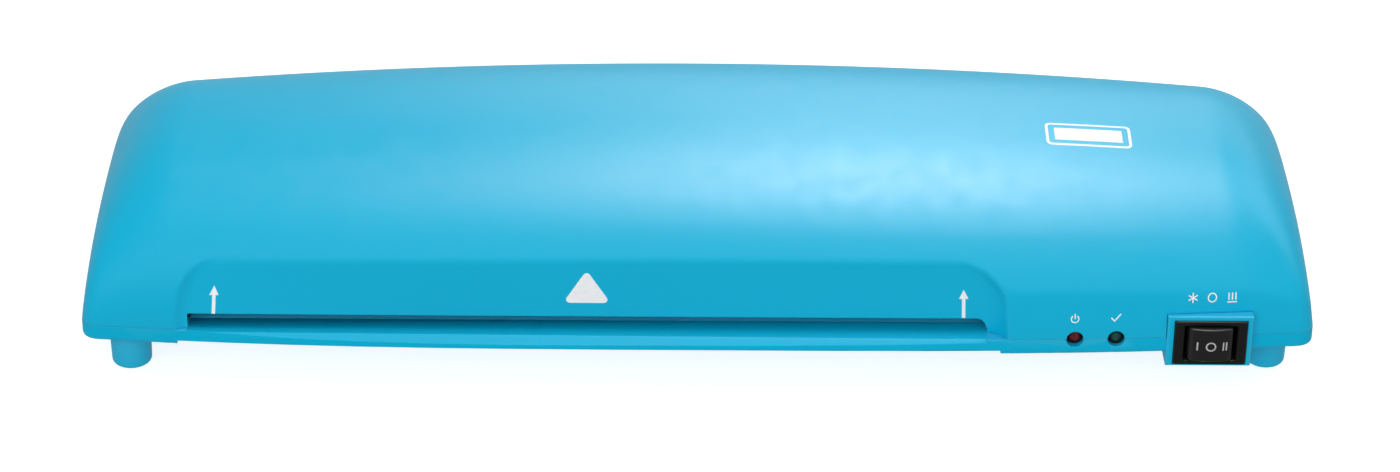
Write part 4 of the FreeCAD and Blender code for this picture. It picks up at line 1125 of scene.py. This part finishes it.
POWER_MARK = (108.1, 24.1)
READY_MARK = (119.9, 24.2)
printed("print_arrow_left", arrow(-139.5, 21.8, 30.4, 0.6), on_front)
printed("print_arrow_right", arrow(76.4, 22.0, 31.2, -0.3), on_front)
printed("print_triangle", triangle(), on_front)
printed("print_pouch", pouch_mark(), on_hood)
printed("print_power", [
    ring(*POWER_MARK, 1.25, 1.25, 0.32, math.radians(125), math.radians(290)),
    stroke(POWER_MARK, (POWER_MARK[0], POWER_MARK[1] + 1.6), MARK_WIDTH)], on_front)
tick_x, tick_z = READY_MARK
printed("print_ready", [
    stroke((tick_x - 1.3, tick_z + 0.1), (tick_x - 0.35, tick_z - 0.95), BOLD_WIDTH),
    stroke((tick_x - 0.45, tick_z - 1.05), (tick_x + 1.4, tick_z + 1.25), BOLD_WIDTH)], on_front)
printed("print_cold", cold_mark(141.9, 29.8), on_front)
printed("print_off", [ring(147.5, 29.7, 1.35, 1.45, MARK_WIDTH)], on_front)
printed("print_hot", hot_mark(153.3, 29.5), on_front)
printed("print_rocker", [
    stroke((-3.9, -1.5), (-3.9, 1.2), ROCKER_WIDTH), ring(0.0, -0.15, 1.5, 1.5, ROCKER_WIDTH),
    stroke((3.6, -1.5), (3.6, 1.2), ROCKER_WIDTH), stroke((4.5, -1.5), (4.5, 1.2), ROCKER_WIDTH)],
    on_rocker, body="rocker", slot="rocker_black", material=GREY_INK)


# ---- stage -------------------------------------------------------------------
FLOOR_HALF = 4.0
FLOOR_GLOW = 0.80
WORLD_STRENGTH = 0.50


def floor_material():
    """Grey paper that glows, so that it comes out white and still takes soft shadows."""
    s = Shader("floor_paper", (0.46, 0.46, 0.46), 0.8, specular=0.1)
    s.colour(s.blend(s.ranged(s.noise(3.0), 0.0, 1.0), (0.45, 0.45, 0.45), (0.47, 0.47, 0.47)))
    s.shader.inputs["Emission Color"].default_value = (1.0, 1.0, 1.0, 1.0)
    s.shader.inputs["Emission Strength"].default_value = FLOOR_GLOW
    return s.material


def make_floor():
    """The floor, which the camera sees and matt and glossy reflections don't."""
    size = FLOOR_HALF
    corners = [(-size, -size, 0), (size, -size, 0), (size, size, 0), (-size, size, 0)]
    mesh = bpy.data.meshes.new("floor")
    mesh.from_pydata(corners, [], [(0, 1, 2, 3)])
    mesh.materials.append(floor_material())
    floor = bpy.data.objects.new("floor", mesh)
    floor.visible_glossy = False
    floor.visible_diffuse = False
    bpy.context.scene.collection.objects.link(floor)


def soft_box(name, place, aim, size, power, diffuse=True, glossy=True):
    """A rectangular area light at place, facing aim, that lights the chosen part of the shading."""
    data = bpy.data.lights.new(name, "AREA")
    data.shape = "RECTANGLE"
    data.size, data.size_y = size
    data.energy = power
    lamp = bpy.data.objects.new(name, data)
    lamp.location = place
    lamp.rotation_euler = (Vector(place) - Vector(aim)).to_track_quat("Z", "Y").to_euler()
    lamp.visible_diffuse = diffuse
    lamp.visible_glossy = glossy
    bpy.context.scene.collection.objects.link(lamp)


# Sheen on the hood: panels on an arch over the object, each 16 degrees on from the last. Their
# brightness falls away to the front and to the back, as under one large overhead soft box.
ARCH_RADIUS = 1.2
ARCH_X = 0.16
ARCH_WIDTH = 0.34
ARCH_STEP = math.radians(16)
ARCH_START = math.radians(-24)
ARCH_POWERS = (6.0, 10.8, 11.2, 6.6, 2.8, 1.0)


def make_lights():
    world = bpy.data.worlds.new("studio")
    world.use_nodes = True
    world.node_tree.nodes["Background"].inputs["Color"].default_value = (1.0, 1.0, 1.0, 1.0)
    world.node_tree.nodes["Background"].inputs["Strength"].default_value = WORLD_STRENGTH
    bpy.context.scene.world = world
    soft_box("key", (0.12, 0.03, 1.15), (0.04, 0.0, 0.05), (0.34, 0.80), 2.9, glossy=False)
    soft_box("back", (0.5, 1.3, 0.75), (0.05, 0.0, 0.05), (1.6, 0.8), 6.0)
    soft_box("fill", (-0.25, -1.5, 0.86), (0.0, 0.0, 0.03), (2.6, 1.0), 15.5, glossy=False)
    soft_box("side_sheen", (0.85, 0.25, 0.95), (0.12, 0.0, 0.05), (0.7, 1.1), 9.0, diffuse=False)
    for k, power in enumerate(ARCH_POWERS):
        angle = ARCH_START + k * ARCH_STEP
        place = (ARCH_X, ARCH_RADIUS * math.sin(angle), ARCH_RADIUS * math.cos(angle))
        size = (ARCH_WIDTH, ARCH_RADIUS * ARCH_STEP)
        soft_box(f"sheen_{k}", place, (ARCH_X, 0.0, 0.0), size, power, diffuse=False)


CAMERA_PITCH = math.radians(29.81)
CAMERA_YAW = 0.008767
CAMERA_ROLL = 0.010405
CAMERA_DISTANCE = 1200.74
CAMERA_AIM = (0.735, 17.47)          # across and up from the middle of the crest line
CAMERA_LENS = 102.86


def make_camera():
    data = bpy.data.cameras.new("camera")
    data.lens = CAMERA_LENS
    data.clip_start = 0.05
    camera = bpy.data.objects.new("camera", data)
    across = Vector((math.cos(CAMERA_YAW), -math.sin(CAMERA_YAW), 0))
    away = Vector((math.sin(CAMERA_YAW), math.cos(CAMERA_YAW), 0))
    forward = away * math.cos(CAMERA_PITCH) - Vector((0, 0, math.sin(CAMERA_PITCH)))
    up = away * math.sin(CAMERA_PITCH) + Vector((0, 0, math.cos(CAMERA_PITCH)))
    right = across * math.cos(CAMERA_ROLL) + up * math.sin(CAMERA_ROLL)
    head = up * math.cos(CAMERA_ROLL) - across * math.sin(CAMERA_ROLL)
    turn = Matrix((right, head, -forward)).transposed().to_4x4()
    aim = across * CAMERA_AIM[0] + Vector((0, 0, CAMERA_AIM[1]))
    spot = aim - forward * CAMERA_DISTANCE
    camera.matrix_world = Matrix.Translation(placed(*spot)) @ turn
    bpy.context.scene.collection.objects.link(camera)
    bpy.context.scene.camera = camera


make_floor()
make_lights()
make_camera()
bpy.context.scene.view_settings.view_transform = "Standard"
